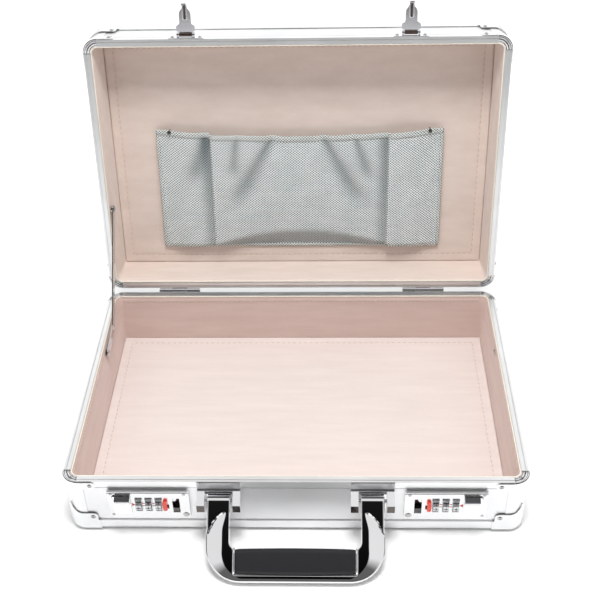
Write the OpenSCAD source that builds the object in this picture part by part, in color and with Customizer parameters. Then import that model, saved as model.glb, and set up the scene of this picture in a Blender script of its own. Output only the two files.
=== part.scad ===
// Hard-sided attache case: two shallow aluminium halves hinged along the back, with corner caps,
// two combination locks, two sprung hasps, a folding carry handle, a lid stay and a lid pocket.
// Units are millimetres. +X is right, +Y is towards the hinges, +Z is up, and the origin is the
// centre of the footprint on the surface that the case stands on. The lid is drawn open.

/* [Case] */
// Width over the side extrusions
case_w = 450; // [445:1:470]
// Depth over the front and back extrusions
case_d = 294; // [290:1:310]
// Height of the base half, feet to parting plane
base_h = 72; // [72:1:78]
// Height of the lid half, parting plane to top
lid_h = 58; // [58:1:64]
// Angle that the lid stands open
lid_open = 100; // [60:5:100]

/* [Shell] */
// Plan radius of the four upright corners
corner_r = 15; // [14:1:17]
// Thickness of the pressed corner caps
cap_t = 1.2; // [1:0.1:1.4]
// Width of the rim extrusion
rim_w = 7; // [6:0.5:7.5]
// Height of the rim extrusion
rim_h = 10.5; // [10:0.5:11]
// Leg of the L-shaped edge extrusion
edge_h = 15; // [14:0.5:16]
// Thickness of the wall and top sheets
panel_t = 1.2; // [1:0.1:1.4]
// Distance from the outside to the end of each corner strip
strip_end = 20; // [19:1:22]

/* [Lining] */
// Distance from the outer end of a half to its padded floor
floor_h = 12; // [12:0.5:13]
// Thickness of the padded floor
floor_t = 2.6; // [2:0.2:2.6]
// Thickness of the wall lining
lining_t = 1.5; // [1.2:0.1:1.5]

/* [Locks] */
// Distance of the right lock plate's centre from the middle
lock_x = 146; // [144:0.5:146]
// Distance that the left lock sits nearer the middle than the right one
lock_shift = 3.6; // [0:0.2:4]
// Width of a lock plate
lock_w = 80; // [80:0.5:82]
// Height of a lock plate
lock_tall = 39.8; // [38:0.2:39.8]
// Radius of a number dial
dial_r = 7.6; // [7.2:0.1:7.6]
// Spacing of the dials
dial_pitch = 9.7; // [9.4:0.1:9.8]
// Travel of the opening button
button_travel = 4; // [2:0.5:4]

/* [Handle] */
// Distance of each bracket from the handle's middle
bracket_x = 74; // [72:0.5:75]
// Distance of the handle's middle from the case's middle
handle_shift = 1.1; // [0:0.1:2]
// Reach of the handle from its pivot
handle_reach = 76; // [70:1:77]
// Thickness of the handle's metal bow
handle_t = 9; // [8:0.5:9]
// Angle that the resting handle drops below level
handle_tilt = 40.5; // [20:0.5:41]

/* [Hinges and stay] */
// Distance of each hinge from the middle
hinge_x = 143; // [120:1:150]
// Length of the lid stay's long arm
stay_arm = 135.1; // [130:0.1:136]
// Length of the lid stay's short arm
stay_foot = 38.4; // [30:0.1:39]

/* [Hidden] */
$fn = 48;

half_w = case_w / 2;
half_d = case_d / 2;
seam_gap = 0.15;
groove = 0.6;
rim_groove = 1.9;
edge_groove = 1.3;
rim_lip = 1.4;
sheet_drop = 0.4;
wall_t = 2.2;
edge_r = 5;
panel_set = 0.6;
strip_t = 1.8;

ball_tall = 37.6;
ball_leg_end = 31.7;
tab_end = 29.7;
tab_tall = 26;
tab_r = 5;
rise_start = 16;
rise_r = 11.6;
rim_tab_mid = 5.8;
rim_tab_r = 4.4;
rim_tab_end = 28.1;
screw_r = 2.6;
screw_t = 1.1;
screw_low = 21;

lining_top = 2;
lining_top_in = 8.8;
base_lining_in = 11.8;
lid_lining_in = 11.2;
mitre_gap = 0.05;
mitre = 40;
board_gap = 0.2;
piping_r = 0.75;
piping_in = rim_w + piping_r + 0.05;
piping_z = 1.1;

panel_y = -half_d + panel_set;
lock_t = 3.2;
plate_y = panel_y - lock_t;
lock_z = 41.5;
slot_x = 119.3;
slot_z = 40;
slot_w = 7;
slot_tall = 20;
dial_w = 5.4;
dial_first_x = 136.3;
dial_y = panel_y - 0.6;
window_w = dial_w + 0.6;
window_tall = 2 * dial_r + 0.6;
bezel_t = 1.4;
bezel_rim = 0.5;
axle_r = 1.5;
run_fit = 0.05;
clear = 0.3;
reset_x = 129.9;
reset_z = 41.5;
reset_stem_z = 38.5;
button_x = 171.9;
button_z = 41.5;
button_w = 17.2;
button_tall = 25;
bar_z = 50.6;
bar_tall = 2.3;
catch_z = 45;
catch_r = 3;
bar_y = panel_y + panel_t + 0.6;
housing_back = panel_y + 7.2;
housing_x = 112;
housing_w = 71;
housing_z = 30.5;
housing_tall = 24.5;
housing_t = 1.2;
hole_edge = 1.5;
top_bead_r = 1.3;
top_bead_drop = 1.4;
top_groove = 4;
axle_start = 132.4;
axle_end = 159.6;
lock_rivet_at = [[111, 56, 1.7], [182.3, 56.2, 1.6], [110.5, 27, 3.2], [182.3, 26.6, 1.6]];
reset_w = 4.2;
reset_tall = 13;
reset_t = 2.4;
reset_slot_w = 5;
reset_slot_tall = 5.8;
reset_stem_w = 2.2;
reset_stem_tall = 5;
reset_foot_w = 3.4;
button_t = 1.2;
neck_w = 10;
ridge_w = 15;
ridge_low = 44;
ridge_top = 54;
ridge_rise = 4.2;
catch_x = 122.6;
catch_bar_t = 3;
catch_arm_w = 3.6;
catch_arm_t = 2;
flute_r = 0.8;
flute_out = 0.4;
flute_step = 36;

pivot_y = -half_d - 8;
pivot_z = 53.5;
bracket_w = 42;
ear_w = 7.4;
bracket_low = 36;
bracket_top = 61.3;
bracket_t = 3;
ear_out = 15.3;
ear_top_out = 1;
ear_low_out = 5;
ear_high = 54.4;
ear_low = 45.4;
flange_top = 70.8;
flange_t = 0.8;
flange_rivet_x = 17.5;
flange_rivet_z = 68.6;
flange_rivet_r = 1.5;
leg_w = 22.5;
handle_pin_r = 2;
bow_r = 33;
bow_outer = bracket_x + leg_w / 2;
bow_inner = bracket_x - leg_w / 2;
bow_inner_r = 6;
grip_r = 5;
grip_half = 59;
grip_start = 44;
grip_end = 69;
grip_t = 14;
core_w = 9;
core_t = 5;

hinge_y = half_d + 3.2;
hinge_half = 24;
knuckle_half = 8.8;
knuckle_r = 2.6;
hinge_pin_r = 1.2;
leaf_t = 1.2;
leaf_near = 3.1;
leaf_far = 9.5;
leaf_screw_x = 16;
leaf_screw_z = 6.3;
leaf_screw_r = 1.9;
leaf_screw_t = 0.8;

hasp_x = [lock_shift - slot_x - 0.2, slot_x + 0.2];
hasp_y = -half_d - 3.6;
hasp_z = 5;
hasp_plate_w = 36.5;
hasp_plate_tall = 9.2;
hasp_plate_z = 0.6;
hasp_plate_t = 1;
hasp_screw_x = 14.5;
hasp_screw_r = 2.4;
hasp_ear_w = 2.5;
hasp_ear_end = 9.5;
hasp_barrel_r = 2.2;
hasp_pin_r = 1;
link_half = 6.75;
link_t = 1.4;
link_long = 27;
shoulder_half = 10;
shoulder_from = 3.2;
shoulder_to = 9;
hook_w = 5.4;
hook_end = 33;
hook_t = 1.8;
hook_lip = 4;

stay_x = half_w - 11.9;
stay_t = 1.2;
stay_half = 5;
stay_up = 230;
stay_bend = 41.8;
stay_lid_y = 49;
stay_lid_z = 8;
stay_lift = [hinge_y, base_h] + turned([stay_lid_y - hinge_y, stay_lid_z], -lid_open);
stay_elbow = stay_lift + stay_arm * heading(stay_up);
stay_end = stay_elbow + stay_foot * heading(stay_up - stay_bend);
stay_rivet_z = 62;
rivet_r = 1.5;
rivet_in = 7.1;
flange_in = 9.5;
flange_r = 4;
head_r = 3.6;
head_t = 1.2;
base_head_t = 1.5;

pocket_top_y = -31;
pocket_low_y = 113;
pocket_half_low = 162.6;
pocket_gap = 10;
pocket_t = 1.2;
hem_t = 1.8;
hem_tall = 3;
tack_x = 147;
tack_r = 2.2;
tack_long = 8.2;

function heading(a) = [cos(a), sin(a)];
function turned(p, a) = [p[0] * cos(a) - p[1] * sin(a), p[0] * sin(a) + p[1] * cos(a)];
function dial_x(i) = dial_first_x + dial_pitch * (i - 1);
function lining_in(z, depth, low_in) =
    lining_top_in + (low_in - lining_top_in) * (z - lining_top) / (depth - lining_top);

// ---- placing ------------------------------------------------------------------------------

// A half is drawn with z running from the parting plane to its outer end.
module place_base() {
    translate([0, 0, base_h]) mirror([0, 0, 1]) children();
}

module place_lid() {
    translate([0, hinge_y, base_h]) rotate([-lid_open, 0, 0]) translate([0, -hinge_y, 0])
        children();
}

module on_side(s) {
    mirror([s < 0 ? 1 : 0, 0, 0]) children();
}

// The left lock is a mirrored copy of the right one, a little nearer the middle.
module lock_side(s) {
    translate([s < 0 ? lock_shift : 0, 0, 0]) on_side(s) children();
}

// A section (x inward from the outer face, y from the parting plane) along chosen sides.
module along_sides(end_gap, sides = [0, 1, 2, 3]) {
    for (k = sides) {
        span = k % 2 == 0 ? case_w : case_d;
        away = k % 2 == 0 ? case_d : case_w;
        rotate([0, 0, 90 * k])
            translate([end_gap - span / 2, -away / 2, 0])
                rotate([90, 0, 90])
                    linear_extrude(span - 2 * end_gap) children();
    }
}

module at_corners() {
    for (sx = [-1, 1], sy = [-1, 1])
        mirror([sx < 0 ? 1 : 0, 0, 0]) mirror([0, sy < 0 ? 1 : 0, 0])
            translate([half_w - corner_r, half_d - corner_r, 0]) children();
}

module both_legs() {
    for (m = [0, 1]) mirror([m, -m, 0]) children();
}

// A section (x outward from the corner's axis) turned round the corner, with straight legs.
module corner_sweep(leg) {
    rotate_extrude(angle = 90) children();
    both_legs() rotate([90, 0, 0]) linear_extrude(leg) children();
}

// An outline (x back from the outer corner, y up) cut through a corner's leg, along X.
module leg_outline(start, length) {
    translate([start, corner_r, 0]) rotate([90, 0, 90])
        linear_extrude(length) mirror([1, 0]) children();
}

// ---- shared shapes ------------------------------------------------------------------------

module rounded_rect(w, d, r) {
    square([w - 2 * r, d], center = true);
    square([w, d - 2 * r], center = true);
    for (sx = [-1, 1], sy = [-1, 1])
        translate([sx * (w / 2 - r), sy * (d / 2 - r)]) circle(r);
}

// A block from the origin whose corner at the origin is round.
module soft_block(w, d, r) {
    translate([r, 0]) square([w - r, d]);
    translate([0, r]) square([w, d - r]);
    translate([r, r]) circle(r);
}

module dome(r, t) {
    ball = (r * r + t * t) / (2 * t);
    intersection() {
        translate([0, 0, t - ball]) sphere(ball);
        cylinder(h = t, r = r);
    }
}

module dome_screw(r, t) {
    difference() {
        dome(r, t);
        for (a = [0, 90])
            rotate([0, 0, a]) translate([-r * 0.55, -r * 0.11, t * 0.5]) cube([r * 1.1, r * 0.22, t]);
    }
}

// A rod along X.
module rod(x0, x1, r) {
    translate([x0, 0, 0]) rotate([0, 90, 0]) cylinder(h = x1 - x0, r = r);
}

// ---- case halves --------------------------------------------------------------------------

module rim_section() {
    difference() {
        translate([0, seam_gap]) square([rim_w, rim_h - seam_gap]);
        translate([wall_t, wall_t]) square([rim_w - wall_t - rim_lip, rim_h]);
        translate([rim_w * 0.32, 0]) square([groove, seam_gap + groove]);
        translate([-1, rim_h - rim_groove]) square([1 + groove, groove]);
    }
}

module rim_frame() {
    along_sides(corner_r) rim_section();
}

module edge_section() {
    difference() {
        soft_block(edge_h, edge_h, edge_r);
        translate([wall_t, wall_t]) soft_block(edge_h, edge_h, edge_r - wall_t);
        translate([-1, edge_h - edge_groove]) square([1 + groove, groove + 0.1]);
    }
}

module edge_frame(h) {
    along_sides(strip_end) translate([0, h - cap_t]) mirror([0, 1]) edge_section();
}

module wall_panels(h, sides) {
    along_sides(strip_end, sides)
        translate([panel_set, rim_h]) square([panel_t, h - cap_t - edge_h - rim_h]);
}

module outer_panel(h) {
    translate([edge_h - half_w, edge_h - half_d, h - cap_t - sheet_drop - panel_t])
        cube([case_w - 2 * edge_h, case_d - 2 * edge_h, panel_t]);
}

module corner_strips(h) {
    at_corners() corner_sweep(strip_end - corner_r)
        translate([corner_r - strip_t, rim_h]) square([strip_t, h - cap_t - edge_h - rim_h]);
}

module rim_corners() {
    at_corners() {
        rotate_extrude(angle = 90)
            translate([corner_r - rim_w, seam_gap]) square([rim_w + cap_t, rim_h - seam_gap]);
        both_legs() leg_outline(corner_r, cap_t) {
            translate([corner_r - 1, rim_tab_mid - rim_tab_r])
                square([rim_tab_end - corner_r + 1, 2 * rim_tab_r]);
            translate([rim_tab_end, rim_tab_mid]) circle(rim_tab_r);
        }
    }
}

module ball_section() {
    difference() {
        translate([corner_r + cap_t, 0]) mirror([1, 0])
            soft_block(corner_r + cap_t, ball_tall, edge_r + cap_t);
        translate([corner_r, cap_t]) mirror([1, 0])
            soft_block(corner_r + 2, ball_tall, edge_r);
    }
}

// What is cut away above the seam of a ball corner's leg, seen from its side.
module ball_seam() {
    translate([rise_start, ball_tall]) circle(rise_r);
    translate([rise_start, tab_tall]) square([ball_leg_end, ball_tall]);
    translate([tab_end, edge_h + cap_t]) square([ball_leg_end, ball_tall]);
    difference() {
        translate([tab_end - tab_r, tab_tall - tab_r]) square([2 * tab_r, 2 * tab_r]);
        translate([tab_end - tab_r, tab_tall - tab_r]) circle(tab_r);
    }
}

module ball_corners(h) {
    at_corners() translate([0, 0, h]) mirror([0, 0, 1]) difference() {
        corner_sweep(ball_leg_end - corner_r) ball_section();
        both_legs() leg_outline(0, corner_r + cap_t + 2) ball_seam();
    }
}

module corner_screws(h) {
    at_corners() both_legs() for (p = [[rim_tab_end - 0.8, rim_tab_mid], [tab_end - tab_r, h - screw_low]])
        translate([corner_r + cap_t, corner_r - p[0], p[1]]) rotate([0, 90, 0])
            dome_screw(screw_r, screw_t);
}

module board(h) {
    inset = base_lining_in + board_gap;
    low = h - cap_t - wall_t;
    high = h - floor_h + floor_t;
    translate([inset - half_w, inset - half_d, high])
        cube([case_w - 2 * inset, case_d - 2 * inset, low - high]);
}

module floor_lining(h, low_in) {
    inset = low_in + board_gap;
    translate([inset - half_w, inset - half_d, h - floor_h])
        cube([case_w - 2 * inset, case_d - 2 * inset, floor_t]);
}

module lining_section(h, low_in) {
    depth = h - floor_h;
    low = depth + floor_t;
    polygon([[lining_top_in - lining_t, lining_top], [lining_top_in, lining_top],
        [lining_in(low, depth, low_in), low], [lining_in(low, depth, low_in) - lining_t, low]]);
}

// Four lining boards, mitred at the corners and rounded where the rim's corners turn.
module wall_lining(h, low_in) {
    for (k = [0:3]) {
        span = (k % 2 == 0 ? half_w : half_d) - mitre_gap;
        away = k % 2 == 0 ? half_d : half_w;
        intersection() {
            along_sides(0, [k]) lining_section(h, low_in);
            rotate([0, 0, 90 * k]) linear_extrude(h)
                polygon([[-span, -away], [span, -away], [span - mitre, mitre - away],
                    [mitre - span, mitre - away]]);
            union() {
                linear_extrude(rim_h + 0.1)
                    rounded_rect(case_w - 2 * rim_w - 0.2, case_d - 2 * rim_w - 0.2,
                        corner_r - rim_w - 0.1);
                translate([-half_w, -half_d, rim_h + 0.1]) cube([case_w, case_d, h]);
            }
        }
    }
}

module piping() {
    along_sides(corner_r) translate([piping_in, piping_z]) circle(piping_r);
    at_corners() rotate_extrude(angle = 90)
        translate([corner_r - piping_in, piping_z]) circle(piping_r);
}

// ---- base half ----------------------------------------------------------------------------

module base_bottom_panel() {
    color("#c9cbcc") place_base() outer_panel(base_h);
}

module base_front_panel() {
    color("#dcdedf") difference() {
        place_base() wall_panels(base_h, [0]);
        for (s = [-1, 1]) lock_side(s)
            translate([housing_x + hole_edge, panel_y - 1, housing_z + hole_edge])
                cube([housing_w - 2 * hole_edge, panel_t + 2, housing_tall - 2 * hole_edge]);
    }
}

module base_side_panels() {
    color("#dcdedf") place_base() wall_panels(base_h, [1, 2, 3]);
}

module base_edge_frame() {
    color("#e6e7e8") place_base() edge_frame(base_h);
}

module base_rim_frame() {
    color("#e6e7e8") place_base() rim_frame();
}

module base_corner_strips() {
    color("#dfe0e1") place_base() corner_strips(base_h);
}

module base_ball_corners() {
    color("#e9eaea") place_base() ball_corners(base_h);
}

module base_rim_corners() {
    color("#b9bcbe") place_base() rim_corners();
}

module base_screws() {
    color("#b0b2b4") {
        place_base() corner_screws(base_h);
        for (s = [-1, 1], x = [-1, 1])
            translate([s * hinge_x + x * leaf_screw_x, half_d + leaf_t, base_h - leaf_screw_z])
                rotate([-90, 0, 0]) dome_screw(leaf_screw_r, leaf_screw_t);
    }
}

module base_floor_board() {
    color("#8a6f52") place_base() board(base_h);
}

module base_floor_lining() {
    color("#eee0da") place_base() floor_lining(base_h, base_lining_in);
}

module base_wall_lining() {
    color("#c9aea4") difference() {
        place_base() wall_lining(base_h, base_lining_in);
        for (s = [-1, 1])
            translate([s * half_w, stay_end[0], stay_rivet_z]) rod(-edge_h, edge_h, rivet_r);
    }
}

module base_piping() {
    color("#e8dccb") place_base() piping();
}

// ---- locks (drawn for the right side) -----------------------------------------------------

module lock_outline() {
    difference() {
        translate([lock_x, lock_z]) rounded_rect(lock_w, lock_tall, 3);
        translate([slot_x, slot_z]) square([slot_w, slot_tall], center = true);
        translate([reset_x - 1, reset_stem_z])
            square([reset_slot_w, reset_slot_tall], center = true);
        translate([button_x - neck_w / 2 - 0.4, bar_z - 0.7])
            square([neck_w + button_travel + 0.8, bar_tall + 1.4]);
        for (i = [1:3])
            translate([dial_x(i), lock_z]) square([window_w, window_tall], center = true);
    }
}

module lock_plate() {
    top_z = lock_z + lock_tall / 2;
    difference() {
        union() {
            translate([0, panel_y, 0]) rotate([90, 0, 0]) linear_extrude(lock_t) lock_outline();
            for (i = [1:3])
                translate([dial_x(i), plate_y, lock_z]) rotate([90, 0, 0])
                    linear_extrude(bezel_t) difference() {
                        square([window_w + 2 * bezel_rim, window_tall + 2 * bezel_rim], center = true);
                        square([window_w, window_tall], center = true);
                    }
            translate([0, plate_y, top_z - top_bead_drop])
                rod(lock_x - lock_w / 2 + 1, lock_x + lock_w / 2 - 1, top_bead_r);
        }
        translate([0, dial_y, lock_z]) rod(axle_start, axle_end, axle_r);
        translate([lock_x - lock_w / 2 - 1, plate_y - 1, top_z - top_groove])
            cube([lock_w + 2, 1.5, groove]);
    }
}

module lock_housing() {
    difference() {
        translate([housing_x, panel_y + panel_t, housing_z])
            cube([housing_w, housing_back - panel_y - panel_t, housing_tall]);
        translate([housing_x + housing_t, panel_y - housing_t, housing_z + housing_t])
            cube([housing_w - 2 * housing_t, housing_back - panel_y + 2 * housing_t,
                housing_tall - 2 * housing_t]);
    }
}

module lock_rivet_set() {
    for (p = lock_rivet_at)
        translate([p[0], plate_y, p[1]]) rotate([90, 0, 0]) dome(p[2], p[2] * 0.35);
}

module lock_button() {
    ridge = plate_y - clear - button_t;
    translate([button_x - button_w / 2, ridge, button_z - button_tall / 2])
        cube([button_w, button_t, button_tall]);
    translate([button_x - ridge_w / 2 - 1, 0, 0]) rotate([90, 0, 90]) linear_extrude(ridge_w)
        polygon([[ridge, ridge_top], [ridge - ridge_rise + 0.6, ridge_top - 1.4],
            [ridge - ridge_rise, ridge_top - 3], [ridge - 1.2, ridge_low + 0.6], [ridge, ridge_low]]);
}

module lock_catch() {
    from = catch_x + catch_arm_w / 2;
    translate([from, bar_y, bar_z]) cube([button_x + neck_w / 2 - from, catch_bar_t, bar_tall]);
    translate([button_x - neck_w / 2, plate_y - clear, bar_z])
        cube([neck_w, bar_y - plate_y + clear + 1, bar_tall]);
    translate([catch_x, bar_y, catch_z - catch_r])
        cube([catch_arm_w, catch_arm_t, bar_z + bar_tall - catch_z + catch_r]);
    translate([catch_x, panel_y + 0.4, catch_z]) rotate([-90, 0, 0])
        cylinder(h = bar_y + catch_arm_t - panel_y - 0.4, r = catch_r);
}

module reset_lever() {
    translate([reset_x, plate_y - clear, reset_z]) rotate([90, 0, 0])
        linear_extrude(reset_t) rounded_rect(reset_w, reset_tall, reset_w / 2 - 0.1);
    translate([reset_x - reset_stem_w / 2, plate_y - clear, reset_stem_z - reset_stem_tall / 2])
        cube([reset_stem_w, 6.6, reset_stem_tall]);
    translate([reset_x - reset_foot_w / 2, plate_y - clear + 5, reset_stem_z - reset_slot_tall / 2])
        cube([reset_foot_w, 1.6, reset_slot_tall]);
}

module dial(i) {
    translate([dial_x(i), dial_y, lock_z]) difference() {
        rod(-dial_w / 2, dial_w / 2, dial_r);
        rod(-dial_w, dial_w, axle_r + run_fit);
        for (a = [flute_step / 2:flute_step:360])
            rotate([a, 0, 0]) translate([0, 0, dial_r + flute_out]) rod(-dial_w, dial_w, flute_r);
    }
}

module lock_plate_left() {
    color("#eceded") lock_side(-1) lock_plate();
}

module lock_plate_right() {
    color("#eceded") lock_side(1) lock_plate();
}

module lock_housings() {
    color("#7c7f82") for (s = [-1, 1]) lock_side(s) lock_housing();
}

module lock_rivets() {
    color("#c4c6c8") for (s = [-1, 1]) lock_side(s) lock_rivet_set();
}

module dial_axles() {
    color("#8f9294") for (s = [-1, 1]) lock_side(s)
        translate([0, dial_y, lock_z]) rod(axle_start, axle_end, axle_r);
}

module lock_button_left() {
    color("#f2f2f2") lock_side(-1) lock_button();
}

module lock_button_right() {
    color("#f2f2f2") lock_side(1) lock_button();
}

module lock_catch_left() {
    color("#d0d2d4") lock_side(-1) lock_catch();
}

module lock_catch_right() {
    color("#d0d2d4") lock_side(1) lock_catch();
}

module reset_lever_left() {
    color("#e0301e") lock_side(-1) reset_lever();
}

module reset_lever_right() {
    color("#e0301e") lock_side(1) reset_lever();
}

module dial_left_1() {
    color("#56595c") lock_side(-1) dial(1);
}

module dial_left_2() {
    color("#56595c") lock_side(-1) dial(2);
}

module dial_left_3() {
    color("#56595c") lock_side(-1) dial(3);
}

module dial_right_1() {
    color("#56595c") lock_side(1) dial(1);
}

module dial_right_2() {
    color("#56595c") lock_side(1) dial(2);
}

module dial_right_3() {
    color("#56595c") lock_side(1) dial(3);
}

// ---- handle -------------------------------------------------------------------------------

module bracket_ear() {
    polygon([[panel_y, bracket_low], [panel_y, bracket_top], [-half_d - ear_top_out, bracket_top],
        [-half_d - ear_out, ear_high], [-half_d - ear_out, ear_low],
        [-half_d - ear_low_out, bracket_low]]);
}

module bracket() {
    difference() {
        union() {
            translate([bracket_x - bracket_w / 2, panel_y - bracket_t, bracket_low])
                cube([bracket_w, bracket_t, bracket_top - bracket_low]);
            for (x = [-bracket_w / 2, bracket_w / 2 - ear_w])
                translate([bracket_x + x, 0, 0]) rotate([90, 0, 90])
                    linear_extrude(ear_w) bracket_ear();
            translate([bracket_x - bracket_w / 2, -half_d - flange_t, bracket_top - flange_t])
                cube([bracket_w, flange_t, flange_top - bracket_top + flange_t]);
            for (x = [-flange_rivet_x, flange_rivet_x])
                translate([bracket_x + x, -half_d - flange_t, flange_rivet_z]) rotate([90, 0, 0])
                    dome(flange_rivet_r, flange_rivet_r / 2);
        }
        translate([bracket_x, pivot_y, pivot_z]) rod(-bracket_w, bracket_w, handle_pin_r);
    }
}

module handle_brackets() {
    color("#e9eaeb") translate([handle_shift, 0, 0]) for (s = [-1, 1]) on_side(s) bracket();
}

module handle_pins() {
    color("#9a9da0") for (s = [-1, 1])
        translate([handle_shift + s * bracket_x, pivot_y, pivot_z])
            rod(-bracket_w / 2, bracket_w / 2, handle_pin_r);
}

module place_handle() {
    translate([handle_shift, pivot_y, pivot_z]) rotate([handle_tilt, 0, 0]) children();
}

// The bow's outline, with its reach along -Y.
module bow_outline() {
    difference() {
        union() {
            translate([-bow_outer, bow_r - handle_reach])
                square([2 * bow_outer, handle_reach - bow_r]);
            translate([bow_r - bow_outer, -handle_reach])
                square([2 * (bow_outer - bow_r), handle_reach]);
            for (s = [-1, 1])
                translate([s * (bow_outer - bow_r), bow_r - handle_reach]) circle(bow_r);
        }
        translate([-bow_inner, bow_inner_r - grip_start]) square([2 * bow_inner, grip_start]);
        translate([bow_inner_r - bow_inner, -grip_start])
            square([2 * (bow_inner - bow_inner_r), grip_start]);
        for (s = [-1, 1])
            translate([s * (bow_inner - bow_inner_r), bow_inner_r - grip_start])
                circle(bow_inner_r);
        translate([-grip_half, -grip_end]) square([2 * grip_half, grip_end - grip_start + 2]);
    }
}

module grip_core() {
    translate([-grip_half, -(grip_start + grip_end + core_w) / 2, -core_t / 2])
        cube([2 * grip_half, core_w, core_t]);
}

module handle_bow() {
    color("#c8cacc") place_handle() difference() {
        union() {
            translate([0, 0, -handle_t / 2]) linear_extrude(handle_t) bow_outline();
            grip_core();
            for (s = [-1, 1]) translate([s * bracket_x, 0, 0])
                rod(-leg_w / 2, leg_w / 2, handle_t / 2);
        }
        for (s = [-1, 1]) translate([s * bracket_x, 0, 0])
            rod(-leg_w, leg_w, handle_pin_r + run_fit);
    }
}

module handle_grip() {
    color("#1d1e20") place_handle() difference() {
        translate([-grip_half, -(grip_start + grip_end) / 2, 0]) rotate([90, 0, 90])
            linear_extrude(2 * grip_half) rounded_rect(grip_end - grip_start, grip_t, grip_r);
        grip_core();
    }
}

// ---- hinges -------------------------------------------------------------------------------

module at_hinges() {
    for (s = [-1, 1]) translate([s * hinge_x, 0, 0]) children();
}

// A leaf and its knuckles, with z from the parting plane outward on its own side.
module hinge_leaf(spans, bore_r) {
    difference() {
        union() {
            translate([-hinge_half, half_d, leaf_near])
                cube([2 * hinge_half, leaf_t, leaf_far - leaf_near]);
            for (p = spans) {
                translate([p[0], half_d, seam_gap])
                    cube([p[1] - p[0], hinge_y - half_d, leaf_near + 1 - seam_gap]);
                translate([0, hinge_y, 0]) rod(p[0], p[1], knuckle_r);
            }
        }
        translate([0, hinge_y, 0]) rod(-hinge_half - 1, hinge_half + 1, bore_r);
    }
}

module hinge_base_leaves() {
    outer = [[-hinge_half, -knuckle_half - clear], [knuckle_half + clear, hinge_half]];
    color("#c9cbcd") place_base() at_hinges() hinge_leaf(outer, hinge_pin_r);
}

module hinge_lid_leaves() {
    inner = [[-knuckle_half, knuckle_half]];
    color("#c9cbcd") place_lid() at_hinges() hinge_leaf(inner, hinge_pin_r + run_fit);
}

module hinge_pins() {
    color("#8f9294") at_hinges()
        translate([0, hinge_y, base_h]) rod(-hinge_half, hinge_half, hinge_pin_r);
}

// ---- lid half -----------------------------------------------------------------------------

module lid_top_panel() {
    color("#c9cbcc") place_lid() outer_panel(lid_h);
}

module lid_side_panels() {
    color("#dcdedf") place_lid() wall_panels(lid_h, [0, 1, 2, 3]);
}

module lid_edge_frame() {
    color("#e6e7e8") place_lid() edge_frame(lid_h);
}

module lid_rim_frame() {
    color("#e6e7e8") place_lid() rim_frame();
}

module lid_corner_strips() {
    color("#dfe0e1") place_lid() corner_strips(lid_h);
}

module lid_ball_corners() {
    color("#e9eaea") place_lid() ball_corners(lid_h);
}

module lid_rim_corners() {
    color("#b9bcbe") place_lid() rim_corners();
}

module lid_screws() {
    color("#b0b2b4") place_lid() {
        corner_screws(lid_h);
        for (s = [-1, 1], x = [-1, 1]) {
            translate([s * hinge_x + x * leaf_screw_x, half_d + leaf_t, leaf_screw_z])
                rotate([-90, 0, 0]) dome_screw(leaf_screw_r, leaf_screw_t);
            translate([hasp_x[s < 0 ? 0 : 1] + x * hasp_screw_x, -half_d - hasp_plate_t, hasp_z + 0.2])
                rotate([90, 0, 0]) dome_screw(hasp_screw_r, 1);
        }
    }
}

module lid_board() {
    color("#8a6f52") place_lid() board(lid_h);
}

module lid_panel_lining() {
    color("#d7c6ba") place_lid() floor_lining(lid_h, lid_lining_in);
}

module lid_wall_lining() {
    color("#c9aea4") place_lid() difference() {
        wall_lining(lid_h, lid_lining_in);
        translate([-half_w, stay_lid_y, stay_lid_z]) rod(0, edge_h, rivet_r);
    }
}

module lid_piping() {
    color("#e8dccb") place_lid() piping();
}

// ---- lid pocket ---------------------------------------------------------------------------

// The pocket's side view: y along the lid, z from the parting plane, closed at its low end.
module pocket_side(inner) {
    panel_z = lid_h - floor_h;
    mouth_z = panel_z - pocket_gap;
    polygon([[pocket_top_y, mouth_z - inner], [pocket_low_y, panel_z - pocket_t],
        [pocket_low_y, panel_z], [pocket_top_y, mouth_z - inner + pocket_t]]);
}

module pocket_gusset() {
    panel_z = lid_h - floor_h;
    polygon([[pocket_top_y, panel_z - pocket_gap + pocket_t], [pocket_low_y, panel_z],
        [pocket_top_y, panel_z]]);
}

module pocket_mesh() {
    color("#aebbbc") place_lid() {
        translate([-pocket_half_low, 0, 0]) rotate([90, 0, 90])
            linear_extrude(2 * pocket_half_low) pocket_side(0);
        for (x = [-pocket_half_low, pocket_half_low - pocket_t])
            translate([x, 0, 0]) rotate([90, 0, 90]) linear_extrude(pocket_t) pocket_gusset();
    }
}

module pocket_hem() {
    color("#93a0a3") place_lid()
        translate([-pocket_half_low, pocket_top_y - hem_tall, lid_h - floor_h - pocket_gap])
            cube([2 * pocket_half_low, hem_tall, hem_t]);
}

module pocket_tacks() {
    color("#5f6163") place_lid() for (s = [-1, 1])
        translate([s * tack_x, pocket_top_y + 3, lid_h - floor_h - tack_long])
            cylinder(h = tack_long, r = tack_r);
}

// ---- hasps --------------------------------------------------------------------------------

module hasp_plate() {
    face = -half_d - hasp_plate_t;
    translate([-hasp_plate_w / 2, face, hasp_plate_z])
        cube([hasp_plate_w, hasp_plate_t, hasp_plate_tall]);
    for (x = [-hasp_ear_end, hasp_ear_end - hasp_ear_w]) {
        translate([x, hasp_y, hasp_z - hasp_barrel_r])
            cube([hasp_ear_w, face - hasp_y, 2 * hasp_barrel_r]);
        translate([x, hasp_y, hasp_z]) rod(0, hasp_ear_w, hasp_barrel_r);
    }
    translate([0, hasp_y, hasp_z]) rod(-hasp_ear_end, hasp_ear_end, hasp_pin_r);
}

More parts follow.
